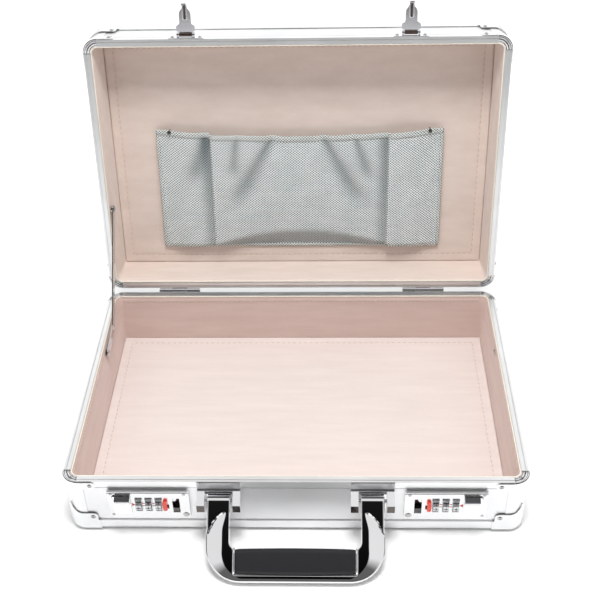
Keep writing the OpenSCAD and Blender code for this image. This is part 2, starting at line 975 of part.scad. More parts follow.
// A link standing straight out from the lid, with its hooked end turned inward.
module hasp_link() {
    translate([0, hasp_y, hasp_z]) difference() {
        union() {
            rod(-link_half + 0.05, link_half - 0.05, hasp_barrel_r);
            translate([-link_half, -link_long, hasp_barrel_r - link_t])
                cube([2 * link_half, link_long, link_t]);
            translate([-shoulder_half, -shoulder_to, hasp_barrel_r - link_t])
                cube([2 * shoulder_half, shoulder_to - shoulder_from, link_t]);
            translate([-hook_w / 2, -hook_end, hasp_barrel_r - link_t])
                cube([hook_w, hook_end - link_long, link_t]);
            translate([-hook_w / 2, -hook_end, -hook_lip])
                cube([hook_w, hook_t, hook_lip + hasp_barrel_r]);
        }
        rod(-link_half, link_half, hasp_pin_r + run_fit);
    }
}

module hasp_plates() {
    color("#d3d5d6") place_lid() for (x = hasp_x) translate([x, 0, 0]) hasp_plate();
}

module hasp_link_left() {
    color("#c6c8ca") place_lid() translate([hasp_x[0], 0, 0]) hasp_link();
}

module hasp_link_right() {
    color("#c6c8ca") place_lid() translate([hasp_x[1], 0, 0]) hasp_link();
}

// ---- lid stay -----------------------------------------------------------------------------

module stay_strip(from, a, length) {
    translate(from) {
        circle(stay_half);
        rotate([0, 0, a]) translate([0, -stay_half]) square([length, 2 * stay_half]);
    }
}

module stay_bar() {
    color("#c2c4c6") {
        translate([-stay_x - stay_t / 2, 0, 0]) rotate([90, 0, 90]) linear_extrude(stay_t)
            difference() {
                union() {
                    stay_strip(stay_lift, stay_up, stay_arm);
                    stay_strip(stay_elbow, stay_up - stay_bend, stay_foot);
                    translate(stay_end) circle(stay_half);
                }
                translate(stay_lift) circle(rivet_r + run_fit);
            }
        for (p = [stay_elbow, stay_end])
            translate([-stay_x + stay_t / 2, p[0], p[1]]) rotate([0, 90, 0]) dome(head_r - 0.2, head_t);
    }
}

module stay_lid_rivet() {
    color("#b9bbbd") place_lid() translate([0, stay_lid_y, stay_lid_z]) {
        rod(rivet_in - half_w, -stay_x + stay_t / 2 + clear, rivet_r);
        rod(flange_in - half_w, -stay_x - stay_t / 2 - clear, flange_r);
        translate([-stay_x + stay_t / 2 + clear, 0, 0]) rotate([0, 90, 0]) dome(head_r, head_t);
    }
}

module stay_base_rivets() {
    color("#b9bbbd") for (s = [-1, 1]) on_side(s)
        translate([0, stay_end[0], stay_rivet_z]) {
            rod(half_w - flange_in, half_w - rivet_in, rivet_r);
            translate([half_w - flange_in, 0, 0]) rotate([0, -90, 0]) dome(flange_r, base_head_t);
        }
}

base_bottom_panel();
base_front_panel();
base_side_panels();
base_edge_frame();
base_rim_frame();
base_corner_strips();
base_ball_corners();
base_rim_corners();
base_screws();
base_floor_board();
base_floor_lining();
base_wall_lining();
base_piping();
lock_plate_left();
lock_plate_right();
lock_housings();
lock_rivets();
dial_axles();
handle_brackets();
handle_pins();
hinge_base_leaves();
hinge_pins();
stay_base_rivets();
lock_button_left();
lock_button_right();
lock_catch_left();
lock_catch_right();
reset_lever_left();
reset_lever_right();
dial_left_1();
dial_left_2();
dial_left_3();
dial_right_1();
dial_right_2();
dial_right_3();
handle_bow();
handle_grip();
lid_top_panel();
lid_side_panels();
lid_edge_frame();
lid_rim_frame();
lid_corner_strips();
lid_ball_corners();
lid_rim_corners();
lid_screws();
lid_board();
lid_panel_lining();
lid_wall_lining();
lid_piping();
pocket_mesh();
pocket_hem();
pocket_tacks();
hinge_lid_leaves();
hasp_plates();
hasp_link_left();
hasp_link_right();
stay_lid_rivet();
stay_bar();
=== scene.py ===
import math

import bmesh
import bpy
from mathutils import Matrix, Vector, noise


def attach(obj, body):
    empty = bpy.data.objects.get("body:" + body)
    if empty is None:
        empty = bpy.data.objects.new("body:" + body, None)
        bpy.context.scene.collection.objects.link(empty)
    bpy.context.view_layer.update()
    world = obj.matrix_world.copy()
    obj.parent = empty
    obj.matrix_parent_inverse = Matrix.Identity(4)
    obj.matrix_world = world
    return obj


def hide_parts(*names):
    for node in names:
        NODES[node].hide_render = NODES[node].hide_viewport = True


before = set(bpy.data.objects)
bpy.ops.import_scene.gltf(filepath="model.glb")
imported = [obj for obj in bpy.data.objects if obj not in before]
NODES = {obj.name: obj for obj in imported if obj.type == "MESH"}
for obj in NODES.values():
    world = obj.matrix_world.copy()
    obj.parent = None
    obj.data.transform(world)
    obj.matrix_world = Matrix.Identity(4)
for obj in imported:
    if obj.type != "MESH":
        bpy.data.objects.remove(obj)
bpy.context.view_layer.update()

# ---- sizes, in millimetres ----
MM = 0.001
HALF_W, HALF_D = 225.0, 147.0
BASE_H, LID_H = 72.0, 58.0
HINGE_Y = HALF_D + 3.2
LID_OPEN = math.radians(100)
CORNER_R = 15.0
CAP_T = 1.2
RIM_W, RIM_H = 7.0, 10.5
FLOOR_H, FLOOR_T = 12.0, 2.6
LINING_TOP = 2.0
LINING_TOP_IN = 8.8
BASE_IN, LID_IN = 11.8, 11.2
PLATE_Y = -149.6
DIAL_Z = 41.5
FLANGE_Z = 61.5
PLATE_GROOVE = (57.2, 58.2)
DIAL_Y = -147.0
DIAL_R = 7.6
DIAL_XS = (136.3, 146.0, 155.7)
LOCK_SHIFT = 3.6
HANDLE_SHIFT = 1.1
PIVOT_Y, PIVOT_Z = -155.0, 53.5
TILT = math.radians(40.5)


# ---- placing ----
def base_point(x, y, z):
    """A point whose z runs from the parting plane down into the base."""
    return Vector((x, y, BASE_H - z)) * MM


def lid_point(x, y, z):
    """A point whose z runs from the parting plane out to the lid's top, the lid being open."""
    c, s = math.cos(LID_OPEN), math.sin(LID_OPEN)
    dy = y - HINGE_Y
    return Vector((x, HINGE_Y + dy * c + z * s, BASE_H - dy * s + z * c)) * MM


def handle_point(x, reach, rise):
    """A point on the handle: reach from its pivot, rise out of its plane."""
    c, s = math.cos(TILT), math.sin(TILT)
    return Vector((x + HANDLE_SHIFT, PIVOT_Y - reach * c - rise * s, PIVOT_Z - reach * s + rise * c)) * MM


def plain_point(x, y, z):
    return Vector((x, y, z)) * MM


def lock_x(sign, x):
    """Where a distance on the right lock falls on either lock."""
    return x if sign > 0 else LOCK_SHIFT - x


# ---- materials ----
def shader(name):
    mat = bpy.data.materials.new(name)
    mat.use_nodes = True
    tree = mat.node_tree
    bsdf = tree.nodes["Principled BSDF"]
    place = tree.nodes.new("ShaderNodeTexCoord")
    return mat, tree, bsdf, place.outputs["Object"]


def math_of(tree, operation, *values):
    """The result of a math node, each input being a number or another node's socket."""
    node = tree.nodes.new("ShaderNodeMath")
    node.operation = operation
    for socket, value in zip(node.inputs, values):
        if isinstance(value, (int, float)):
            socket.default_value = value
        else:
            tree.links.new(value, socket)
    return node.outputs[0]


def stretched(tree, place, scale):
    mapping = tree.nodes.new("ShaderNodeMapping")
    mapping.inputs["Scale"].default_value = scale
    tree.links.new(place, mapping.inputs["Vector"])
    return mapping.outputs["Vector"]


def noise_of(tree, vector, scale, detail=3.0, rough=0.55):
    node = tree.nodes.new("ShaderNodeTexNoise")
    node.inputs["Scale"].default_value = scale
    node.inputs["Detail"].default_value = detail
    node.inputs["Roughness"].default_value = rough
    tree.links.new(vector, node.inputs["Vector"])
    return node.outputs["Fac"]


def ramp_of(tree, fac, low, high, at=(0.3, 0.7)):
    node = tree.nodes.new("ShaderNodeValToRGB")
    first, last = node.color_ramp.elements
    first.position, last.position = at
    first.color, last.color = (*low, 1), (*high, 1)
    tree.links.new(fac, node.inputs["Fac"])
    return node.outputs["Color"]


def bump_of(tree, bsdf, height, strength, distance, rounding=0.0):
    node = tree.nodes.new("ShaderNodeBump")
    node.inputs["Strength"].default_value = strength
    node.inputs["Distance"].default_value = distance
    tree.links.new(height, node.inputs["Height"])
    if rounding:
        edge = tree.nodes.new("ShaderNodeBevel")
        edge.samples = 4
        edge.inputs["Radius"].default_value = rounding
        tree.links.new(edge.outputs["Normal"], node.inputs["Normal"])
    tree.links.new(node.outputs["Normal"], bsdf.inputs["Normal"])


def span(tree, fac, low=0.0, high=1.0, start=0.0, end=1.0):
    """Low up to start, high from end and an even run between."""
    node = tree.nodes.new("ShaderNodeMapRange")
    for socket, value in (("From Min", start), ("From Max", end), ("To Min", low), ("To Max", high)):
        node.inputs[socket].default_value = value
    tree.links.new(fac, node.inputs["Value"])
    return node.outputs["Result"]


def metal(name, low, high, rough, grain=(1, 1, 1), grain_scale=900, bump=0.05, rounding=0.0004):
    """Metal with a fine grain that varies its tint and roughness."""
    mat, tree, bsdf, place = shader(name)
    fine = noise_of(tree, stretched(tree, place, grain), grain_scale)
    broad = noise_of(tree, place, 14, 2.0)
    tree.links.new(ramp_of(tree, broad, low, high), bsdf.inputs["Base Color"])
    tree.links.new(span(tree, fine, *rough), bsdf.inputs["Roughness"])
    bsdf.inputs["Metallic"].default_value = 1.0
    bump_of(tree, bsdf, fine, bump, 0.0002, rounding)
    return mat


PILE_SHARE = 0.45


def suede(name, low, high, along=(1, 1, 1)):
    """Short-pile lining cloth: mottled, faintly streaked, with a soft sheen."""
    mat, tree, bsdf, place = shader(name)
    pile = noise_of(tree, place, 1400, 4.0, 0.7)
    streak = noise_of(tree, stretched(tree, place, along), 90, 4.0, 0.65)
    mixed = math_of(tree, "MULTIPLY_ADD", pile, PILE_SHARE, math_of(tree, "MULTIPLY", streak, 1 - PILE_SHARE))
    tree.links.new(ramp_of(tree, mixed, low, high, (0.38, 0.62)), bsdf.inputs["Base Color"])
    bsdf.inputs["Roughness"].default_value = 0.95
    bsdf.inputs["Specular IOR Level"].default_value = 0.15
    bsdf.inputs["Sheen Weight"].default_value = 0.25
    bsdf.inputs["Sheen Roughness"].default_value = 0.5
    bump_of(tree, bsdf, mixed, 0.35, 0.0006)
    return mat


def moulded(name, low, high, rough, scale=500, bump=0.1, coat=0.0):
    """Moulded plastic, rubber or paint with a fine skin."""
    mat, tree, bsdf, place = shader(name)
    fine = noise_of(tree, place, scale, 4.0, 0.6)
    tree.links.new(ramp_of(tree, fine, low, high), bsdf.inputs["Base Color"])
    tree.links.new(span(tree, fine, *rough), bsdf.inputs["Roughness"])
    bsdf.inputs["Coat Weight"].default_value = coat
    bump_of(tree, bsdf, fine, bump, 0.0003)
    return mat


HOLE_SLANT = 1.15
# the tint for where the net lies double and for painted shade in its troughs and beside its pleats
DOUBLED_AND_SHADE_TINT = (0.3, 0.33, 0.34)


def layer_of(tree, layer):
    """The separate coordinates of one of a mesh's UV layers."""
    uv = tree.nodes.new("ShaderNodeUVMap")
    uv.uv_map = layer
    split = tree.nodes.new("ShaderNodeSeparateXYZ")
    tree.links.new(uv.outputs["UV"], split.inputs[0])
    return split.outputs


def mix_of(tree, factor, shown, colour, blend="MIX"):
    """A colour socket mixed with a fixed colour."""
    node = tree.nodes.new("ShaderNodeMix")
    node.data_type = "RGBA"
    node.blend_type = blend
    tree.links.new(factor, node.inputs["Factor"])
    tree.links.new(shown, node.inputs["A"])
    node.inputs["B"].default_value = (*colour, 1)
    return node.outputs["Result"]


def net(name, thread, gap, pitch, doubled_and_shaded=False):
    """Knitted net: rows of small diamond holes, in the cloth's own flat coordinates.

    It can be painted darker: partly where it lies double, partly as painted shade in its troughs and beside
    its pleats, and also below its lower seam.
    """
    mat, tree, bsdf, place = shader(name)
    flat = layer_of(tree, "flat")
    waves = []
    for sign in (1, -1):
        slanted = math_of(tree, "MULTIPLY_ADD", flat["Y"], sign * HOLE_SLANT, flat["X"])
        wave = math_of(tree, "SINE", math_of(tree, "MULTIPLY", slanted, math.pi / pitch))
        waves.append(math_of(tree, "ABSOLUTE", wave))
    hole = math_of(tree, "MULTIPLY", *waves)
    mottled = ramp_of(tree, noise_of(tree, place, 60), *thread)
    shown = mix_of(tree, span(tree, hole, start=0.3, end=0.62), mottled, gap)
    # darker where the net lies double, and painted shade in its troughs and beside its pleats
    if doubled_and_shaded:
        shown = mix_of(tree, layer_of(tree, "fold")["X"], shown, DOUBLED_AND_SHADE_TINT, "MULTIPLY")
    tree.links.new(shown, bsdf.inputs["Base Color"])
    bsdf.inputs["Roughness"].default_value = 0.6
    bsdf.inputs["Sheen Weight"].default_value = 0.2
    bump_of(tree, bsdf, math_of(tree, "SUBTRACT", 1.0, hole), 0.7, 0.0006)
    return mat


SATIN = metal("satin_extrusion", (0.78, 0.785, 0.79), (0.88, 0.885, 0.89), (0.28, 0.38), (0.02, 0.02, 1))
SHEET = metal("brushed_sheet", (0.78, 0.785, 0.79), (0.86, 0.865, 0.87), (0.34, 0.46), (0.015, 0.6, 1))
CORNER = metal("pressed_corner", (0.74, 0.75, 0.76), (0.84, 0.845, 0.85), (0.16, 0.24))
RIM_CHROME = metal("rim_corner_chrome", (0.9, 0.9, 0.91), (0.97, 0.97, 0.98), (0.05, 0.1), bump=0.02)
# painted shade for the grooves of the rim corners, and a painted dark reflection on the lock buttons' upper
# ridge slopes
DARK_SHADE_AND_REFLECTION = metal("painted_dark_shade_and_reflection", (0.05, 0.05, 0.055), (0.14, 0.14, 0.15), (0.15, 0.25))
SCREW = metal("screw_head", (0.4, 0.39, 0.38), (0.6, 0.59, 0.58), (0.12, 0.25))
PLATE = metal("lock_plate_satin", (0.78, 0.785, 0.79), (0.87, 0.875, 0.88), (0.2, 0.3), (0.03, 1, 1))
INSIDE = metal("lock_steel", (0.03, 0.03, 0.032), (0.07, 0.07, 0.075), (0.35, 0.5))
CATCH = metal("catch_steel", (0.88, 0.88, 0.89), (0.96, 0.96, 0.97), (0.2, 0.3))
DIAL = metal("dial_steel", (0.5, 0.51, 0.52), (0.66, 0.67, 0.68), (0.18, 0.3))
BUTTON = metal("button_chrome", (0.88, 0.88, 0.89), (0.95, 0.95, 0.96), (0.06, 0.12), bump=0.02)
CHROME = metal("handle_chrome", (0.86, 0.86, 0.87), (0.93, 0.93, 0.94), (0.03, 0.07), bump=0.01, rounding=0)
BRACKET = metal("bracket_chrome", (0.9, 0.9, 0.91), (0.96, 0.96, 0.97), (0.08, 0.14), bump=0.02)
# painted shade on the lower fronts of the handle's brackets
BRACKET_PAINTED_SHADE = metal("bracket_front_painted_shade", (0.09, 0.08, 0.08), (0.17, 0.15, 0.14), (0.12, 0.2))
# painted shade on the brackets' flange, a greyer copy of the bracket chrome
FLANGE_PAINTED_SHADE = metal("bracket_flange_painted_shade", (0.42, 0.42, 0.43), (0.56, 0.56, 0.57), (0.25, 0.35))
# painted shade in the groove under the lock plates' bead and on the faces that look down above it
PLATE_PAINTED_SHADE = metal("lock_plate_painted_shade", (0.06, 0.055, 0.05), (0.16, 0.15, 0.14), (0.2, 0.3))
PIN = metal("turned_pin", (0.5, 0.5, 0.51), (0.66, 0.66, 0.67), (0.2, 0.3), (1, 0.05, 0.05))
HINGE = metal("hinge_steel", (0.78, 0.78, 0.8), (0.9, 0.9, 0.92), (0.16, 0.26))
HASP = metal("hasp_chrome", (0.82, 0.82, 0.86), (0.92, 0.92, 0.95), (0.06, 0.14))
HASP_DARK = metal("hasp_shadow", (0.12, 0.09, 0.08), (0.24, 0.18, 0.16), (0.15, 0.25))
STAY = metal("stay_steel", (0.6, 0.6, 0.61), (0.78, 0.78, 0.79), (0.15, 0.28), (1, 0.05, 1))
TACK = metal("dark_tack", (0.05, 0.045, 0.04), (0.12, 0.11, 0.1), (0.3, 0.4))
FLOOR_CLOTH = suede("floor_suede", (0.69, 0.605, 0.572), (0.75, 0.665, 0.632), (0.12, 1, 1))
BASE_CLOTH = suede("base_wall_suede", (0.645, 0.495, 0.447), (0.72, 0.57, 0.52), (0.15, 0.15, 1))
LID_CLOTH = suede("lid_suede", (0.68, 0.57, 0.51), (0.76, 0.65, 0.59), (0.2, 1, 0.6))
THREAD = moulded("lining_thread", (0.5, 0.39, 0.345), (0.64, 0.52, 0.47), (0.6, 0.8), 2500, 0.3)
BEAD = moulded("cream_bead", (0.78, 0.72, 0.62), (0.88, 0.83, 0.74), (0.25, 0.4), 300, 0.05)
BOARD = moulded("hardboard", (0.3, 0.2, 0.12), (0.42, 0.3, 0.19), (0.6, 0.8), 400, 0.3)
GRIP = moulded("grip_rubber", (0.008, 0.008, 0.01), (0.02, 0.02, 0.023), (0.5, 0.66), 1500, 0.35)
RED = moulded("red_plastic", (0.85, 0.03, 0.015), (0.97, 0.07, 0.03), (0.15, 0.25), 300, 0.05, 0.6)
MARK = moulded("red_paint", (0.6, 0.02, 0.015), (0.75, 0.05, 0.03), (0.35, 0.5), 900, 0.05)
FIGURE = moulded("figure_paint", (0.01, 0.01, 0.012), (0.03, 0.03, 0.035), (0.4, 0.5), 900, 0.05)
# a painted bright reflection: light grey paint on the chrome lock buttons' lower ridge slope
BUTTON_PAINTED_REFLECTION = moulded("button_painted_bright_reflection", (0.82, 0.82, 0.84), (0.92, 0.92, 0.94), (0.15, 0.25), 700, 0.05, 0.4)
NET = net("pocket_net", ((0.8, 0.86, 0.86), (0.92, 0.96, 0.96)), (0.09, 0.12, 0.13), 3.5, True)
BAND = net("pocket_band", ((0.78, 0.83, 0.81), (0.9, 0.94, 0.92)), (0.02, 0.035, 0.035), 3.3)

LOOKS = (
    (SHEET, "base_bottom_panel base_front_panel base_side_panels lid_top_panel lid_side_panels"),
    (SATIN, "base_edge_frame base_rim_frame base_corner_strips"),
    (SATIN, "lid_edge_frame lid_rim_frame lid_corner_strips"),
    (CORNER, "base_ball_corners lid_ball_corners"),
    (SCREW, "base_screws lid_screws lock_rivets stay_base_rivets stay_lid_rivet"),
    (BOARD, "base_floor_board lid_board"),
    (BEAD, "base_piping lid_piping"),
    (PLATE, "lock_plate_left lock_plate_right"),
    (INSIDE, "lock_housings"),
    (DIAL, "dial_left_1 dial_left_2 dial_left_3 dial_right_1 dial_right_2 dial_right_3"),
    (PIN, "dial_axles handle_pins hinge_pins"),
    (BRACKET, "handle_brackets"),
    (HINGE, "hinge_base_leaves hinge_lid_leaves"),
    (BUTTON, "lock_button_left lock_button_right"),
    (CATCH, "lock_catch_left lock_catch_right"),
    (RED, "reset_lever_left reset_lever_right"),
    (HASP, "hasp_plates hasp_link_left hasp_link_right"),
    (STAY, "stay_bar"),
)
for look, node_names in LOOKS:
    for node_name in node_names.split():
        data = NODES[node_name].data
        data.materials.clear()
        data.materials.append(look)

# Some faces of the handle's brackets and the lock plates get painted shade, and the buttons' ridge slopes get
# painted dark and bright reflections.
FACES_FRONT, LEANS_FRONT = -0.9, -0.5
LEANS_DOWN, RIDGE_SLOPE = -0.35, 0.25
RIDGE_OUT = 1.6


def bracket_look(face):
    """1 on the lower fronts, 2 on the flange above them, both painted with shade, and 0 elsewhere."""
    if face.normal.y < FACES_FRONT and face.center.y < PIVOT_Y * MM:
        return 1
    return 2 if face.center.z > FLANGE_Z * MM and face.normal.y < LEANS_FRONT else 0


def plate_look(face):
    """1 on the groove under the plate's bead and on the downward faces above it, painted with shade, and 0
    elsewhere.
    """
    low, high = PLATE_GROOVE
    z = face.center.z / MM
    return int(z > low and (z < high or face.normal.z < LEANS_DOWN))


def button_look(face):
    """1 on the ridge's upper slope, painted with a dark reflection, 2 on its lower slope, painted with a
    bright reflection, and 0 elsewhere.
    """
    if face.center.y >= (PLATE_Y - RIDGE_OUT) * MM or abs(face.normal.z) <= RIDGE_SLOPE:
        return 0
    return 1 if face.normal.z > 0 else 2


def change_looks(node_name, looks, choose):
    data = NODES[node_name].data
    for look in looks:
        data.materials.append(look)
    for face in data.polygons:
        face.material_index = choose(face)


change_looks("handle_brackets", (BRACKET_PAINTED_SHADE, FLANGE_PAINTED_SHADE), bracket_look)
for side in ("left", "right"):
    change_looks(f"lock_plate_{side}", (PLATE_PAINTED_SHADE,), plate_look)
    change_looks(f"lock_button_{side}", (DARK_SHADE_AND_REFLECTION, BUTTON_PAINTED_REFLECTION), button_look)


# ---- mesh building ----
def piece(name, verts, faces, look, body, smooth=True, uvs=None):
    """A mesh piece from points in metres, riding on a body."""
    mesh = bpy.data.meshes.new(name)
    mesh.from_pydata([tuple(v) for v in verts], [], faces)
    if uvs:
        layer = mesh.uv_layers.new(name="flat")
        for loop in mesh.loops:
            layer.data[loop.index].uv = uvs[loop.vertex_index]
    bm = bmesh.new()
    bm.from_mesh(mesh)
    bmesh.ops.recalc_face_normals(bm, faces=bm.faces)
    bm.to_mesh(mesh)
    bm.free()
    for face in mesh.polygons:
        face.use_smooth = smooth
    mesh.materials.append(look)
    obj = bpy.data.objects.new(name, mesh)
    bpy.context.scene.collection.objects.link(obj)
    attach(obj, body)
    return obj


def ring_faces(rings, size, closed_rings=True, closed_run=False):
    """Faces that join successive rings of vertices."""
    faces = []
    last = rings if closed_run else rings - 1
    for i in range(last):
        for j in range(size if closed_rings else size - 1):
            a, b = i * size, ((i + 1) % rings) * size
            k = (j + 1) % size
            faces.append((a + j, a + k, b + k, b + j))
    return faces


def shifted(faces, start):
    """The same faces on vertices that begin at number start."""
    return [tuple(start + i for i in face) for face in faces]


def tube_faces(start, rings, size):
    """The sides and both ends of a run of rings whose vertices begin at number start."""
    ends = [tuple(range(size)), tuple(range((rings - 1) * size, rings * size))]
    return shifted(ring_faces(rings, size) + ends, start)


def smoothstep(a, b, x):
    t = min(1.0, max(0.0, (x - a) / (b - a)))
    return t * t * (3 - 2 * t)


def ripple(x, y, size, seed):
    """Smooth unevenness, from about -1 to 1."""
    return noise.noise(Vector((x / size, y / size, seed)))


def solid(obj, thickness):
    layer = obj.modifiers.new("thickness", "SOLIDIFY")
    layer.thickness = thickness * MM
    layer.offset = -1.0
    return obj


# ---- lining ----
SEAM_IN, SEAM_DEEP, SEAM_WIDE = 10.0, 0.3, 1.1
STITCH_STEP, STITCH_LONG, STITCH_SWING = 6.5, 3.5, 0.5
THREAD_R, THREAD_SIDES = 0.42, 6
THREAD_RUN = ((0.0, 0.35), (0.25, 0.9), (0.75, 0.9), (1.0, 0.35))
PAD_GAP, PAD_STEP = 0.2, 9.0
PAD_EDGE_R, PAD_EDGE_DROP = 3.0, 1.3
PAD_WAVES = ((0.22, 55, 0), (0.08, 14, 4))
EDGE_STEPS = (0.0, 0.25, 0.6, 1.1, 1.8, 2.8, 4.2, 6.0, 7.4)
SEAM_STEPS = (-1.6, -0.8, 0.0, 0.8, 1.6, 4.0, 9.0)
SUNK = 0.05


def edged(half):
    """Sample positions from -half to half, close together at the edges and at the seam."""
    near = [*EDGE_STEPS, *(SEAM_IN + step for step in SEAM_STEPS)]
    inner = half - near[-1]
    count = max(2, round(2 * inner / PAD_STEP))
    middle = [-inner + 2 * inner * i / count for i in range(1, count)]
    return [-half + d for d in near] + middle + [half - d for d in reversed(near)]


def pad_drop(x, y, half_x, half_y, seed):
    """How far the padded face lies below its crown: rounded edge, sewn line, soft unevenness."""
    edge = min(half_x - abs(x), half_y - abs(y))
    rounded = PAD_EDGE_DROP * (1 - math.sqrt(max(0.0, 1 - (1 - min(edge, PAD_EDGE_R) / PAD_EDGE_R) ** 2)))
    sewn = SEAM_DEEP * math.exp(-(((edge - SEAM_IN) / SEAM_WIDE) ** 2))
    soft = sum(deep * (1 + ripple(x, y, size, seed + more)) for deep, size, more in PAD_WAVES)
    return rounded + sewn + soft * smoothstep(0, 2 * PAD_EDGE_R, edge)


def pad(name, h, inset, where, look, body, node, seed):
    """The padded, cloth-covered floor of a half."""
    half_x, half_y = HALF_W - inset - PAD_GAP, HALF_D - inset - PAD_GAP
    xs, ys = edged(half_x), edged(half_y)
    wide, top = len(xs), h - FLOOR_H
    verts = [where(x, y, top + pad_drop(x, y, half_x, half_y, seed)) for y in ys for x in xs]
    faces = ring_faces(len(ys), wide, closed_rings=False)
    rim = list(range(wide))
    rim += [wide * j + wide - 1 for j in range(1, len(ys))]
    rim += [wide * (len(ys) - 1) + i for i in range(wide - 2, -1, -1)]
    rim += [wide * j for j in range(len(ys) - 2, 0, -1)]
    start, count = len(verts), len(rim)
    verts += [where(xs[k % wide], ys[k // wide], top + FLOOR_T - SUNK) for k in rim]
    for j in range(count):
        k = (j + 1) % count
        faces.append((rim[j], rim[k], start + k, start + j))
    faces.append(tuple(range(start, start + count)))
    obj = piece(name, verts, faces, look, body)
    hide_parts(node)
    return half_x, half_y, top


def stitches(name, runs, body):
    """Short threads, each a small pointed bead from one point to another, lying along normals."""
    verts, faces = [], []
    for a, b, up in runs:
        along = (b - a).normalized()
        across = along.cross(up).normalized()
        faces += tube_faces(len(verts), len(THREAD_RUN), THREAD_SIDES)
        for t, r in THREAD_RUN:
            centre = a.lerp(b, t)
            for k in range(THREAD_SIDES):
                angle = math.tau * k / THREAD_SIDES
                verts.append(centre + (across * math.cos(angle) + up * math.sin(angle)) * r * THREAD_R * MM)
    piece(name, verts, faces, THREAD, body)


def seam_runs(half_x, half_y):
    """Pairs of points along a rectangular seam, swinging from side to side."""
    runs = []
    corners = [(-half_x, -half_y), (half_x, -half_y), (half_x, half_y), (-half_x, half_y)]
    for k in range(4):
        (x0, y0), (x1, y1) = corners[k], corners[(k + 1) % 4]
        long = math.hypot(x1 - x0, y1 - y0)
        dx, dy = (x1 - x0) / long, (y1 - y0) / long
        count = int(long / STITCH_STEP)
        for i in range(count):
            s0 = i * long / count
            s1 = s0 + STITCH_LONG
            side = STITCH_SWING if i % 2 else -STITCH_SWING
            runs.append(((x0 + dx * s0 + dy * side, y0 + dy * s0 - dx * side),
                         (x0 + dx * s1 - dy * side, y0 + dy * s1 + dx * side)))
    return runs


def pad_stitches(name, size, where, body, seed):
    """The sewn line round a pad."""
    half_x, half_y, top = size
    up = (where(0, 0, 0) - where(0, 0, 1)).normalized()

    def on_pad(x, y):
        return where(x, y, top + pad_drop(x, y, half_x, half_y, seed) - SUNK)

    runs = [(on_pad(*a), on_pad(*b), up) for a, b in seam_runs(half_x - SEAM_IN, half_y - SEAM_IN)]
    stitches(name, runs, body)


def loop_points(inset, radius, straight=36, turns=8):
    """A rounded rectangle inset from the case's outside, with each point's inward direction."""
    hx, hy = HALF_W - inset - radius, HALF_D - inset - radius
    centres = ((hx, -hy), (hx, hy), (-hx, hy), (-hx, -hy))
    points = []
    for k, (cx, cy) in enumerate(centres):
        for j in range(turns + 1):
            a = math.radians(-90 + 90 * k + 90 * j / turns)
            points.append((cx + radius * math.cos(a), cy + radius * math.sin(a), -math.cos(a), -math.sin(a)))
        nx, ny = centres[(k + 1) % 4]
        a = math.radians(90 * k)
        x0, y0 = points[-1][:2]
        x1, y1 = nx + radius * math.cos(a), ny + radius * math.sin(a)
        for j in range(1, straight):
            t = j / straight
            points.append((x0 + (x1 - x0) * t, y0 + (y1 - y0) * t, -math.cos(a), -math.sin(a)))
    return points


WALL_ROWS = (0.0, 0.008, 0.02, 0.05, 0.09, 0.13, 0.2, 0.3, 0.42, 0.55, 0.68, 0.8, 0.9, 0.96, 1.0)
CLOTH_R_TOP, CLOTH_R_LOW, CLOTH_END = 6.6, 2.2, 0.3
CLOTH_LIP, CLOTH_BACK = 0.9, 0.15
CLOTH_SOFT, CLOTH_WAVE = 0.28, 34
WALL_SEAM_Z, WALL_SEAM_END, WALL_SEAM_OUT = LINING_TOP + 5.0, 18, 0.1
WALL_STITCH_STEP, WALL_STITCH_LONG = 5.2, 3.3


def wall_inset(h, low_in, z):
    """How far the leaning wall lining stands in from the outside at a depth z."""
    return LINING_TOP_IN + (low_in - LINING_TOP_IN) * (z - LINING_TOP) / (h - FLOOR_H - LINING_TOP)


def wall_cloth(name, h, low_in, where, look, body, node, seed):
    """One band of cloth round a half's walls, rounded at the top where the rim's corners turn."""
    bottom = h - FLOOR_H + FLOOR_T - CLOTH_END
    verts = []
    for row in WALL_ROWS:
        z = LINING_TOP + (bottom - LINING_TOP) * row
        radius = CLOTH_R_TOP + (CLOTH_R_LOW - CLOTH_R_TOP) * smoothstep(0.1, 0.7, row)
        ring = loop_points(wall_inset(h, low_in, z), radius)
        lip = CLOTH_LIP * (1 - smoothstep(0, 0.05, row))
        for x, y, nx, ny in ring:
            soft = CLOTH_SOFT * ripple(x + y * 0.7, z * 2, CLOTH_WAVE, seed) * smoothstep(0.02, 0.25, row)
            push = soft * (1 - smoothstep(0.85, 1, row)) - lip - CLOTH_BACK
            verts.append(where(x + nx * push, y + ny * push, z))
    obj = piece(name, verts, ring_faces(len(WALL_ROWS), len(ring)), look, body)
    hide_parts(node)


def wall_seam(name, h, low_in, where, body):
    """A sewn line a little below the rim, along all four walls."""
    inset = wall_inset(h, low_in, WALL_SEAM_Z)
    runs = []
    for k, inward in enumerate(((0, 1), (-1, 0), (0, -1), (1, 0))):
        long, away = (HALF_W, HALF_D) if k % 2 == 0 else (HALF_D, HALF_W)
        end, out = long - WALL_SEAM_END, away - inset - WALL_SEAM_OUT
        up = (where(*inward, 0) - where(0, 0, 0)).normalized()
        count = int(2 * end / WALL_STITCH_STEP)
        for i in range(count):
            s0 = -end + 2 * end * i / count
            spots = [((s, -out), (out, s), (-s, out), (-out, -s))[k] for s in (s0, s0 + WALL_STITCH_LONG)]
            runs.append((where(*spots[0], WALL_SEAM_Z), where(*spots[1], WALL_SEAM_Z), up))
    stitches(name, runs, body)


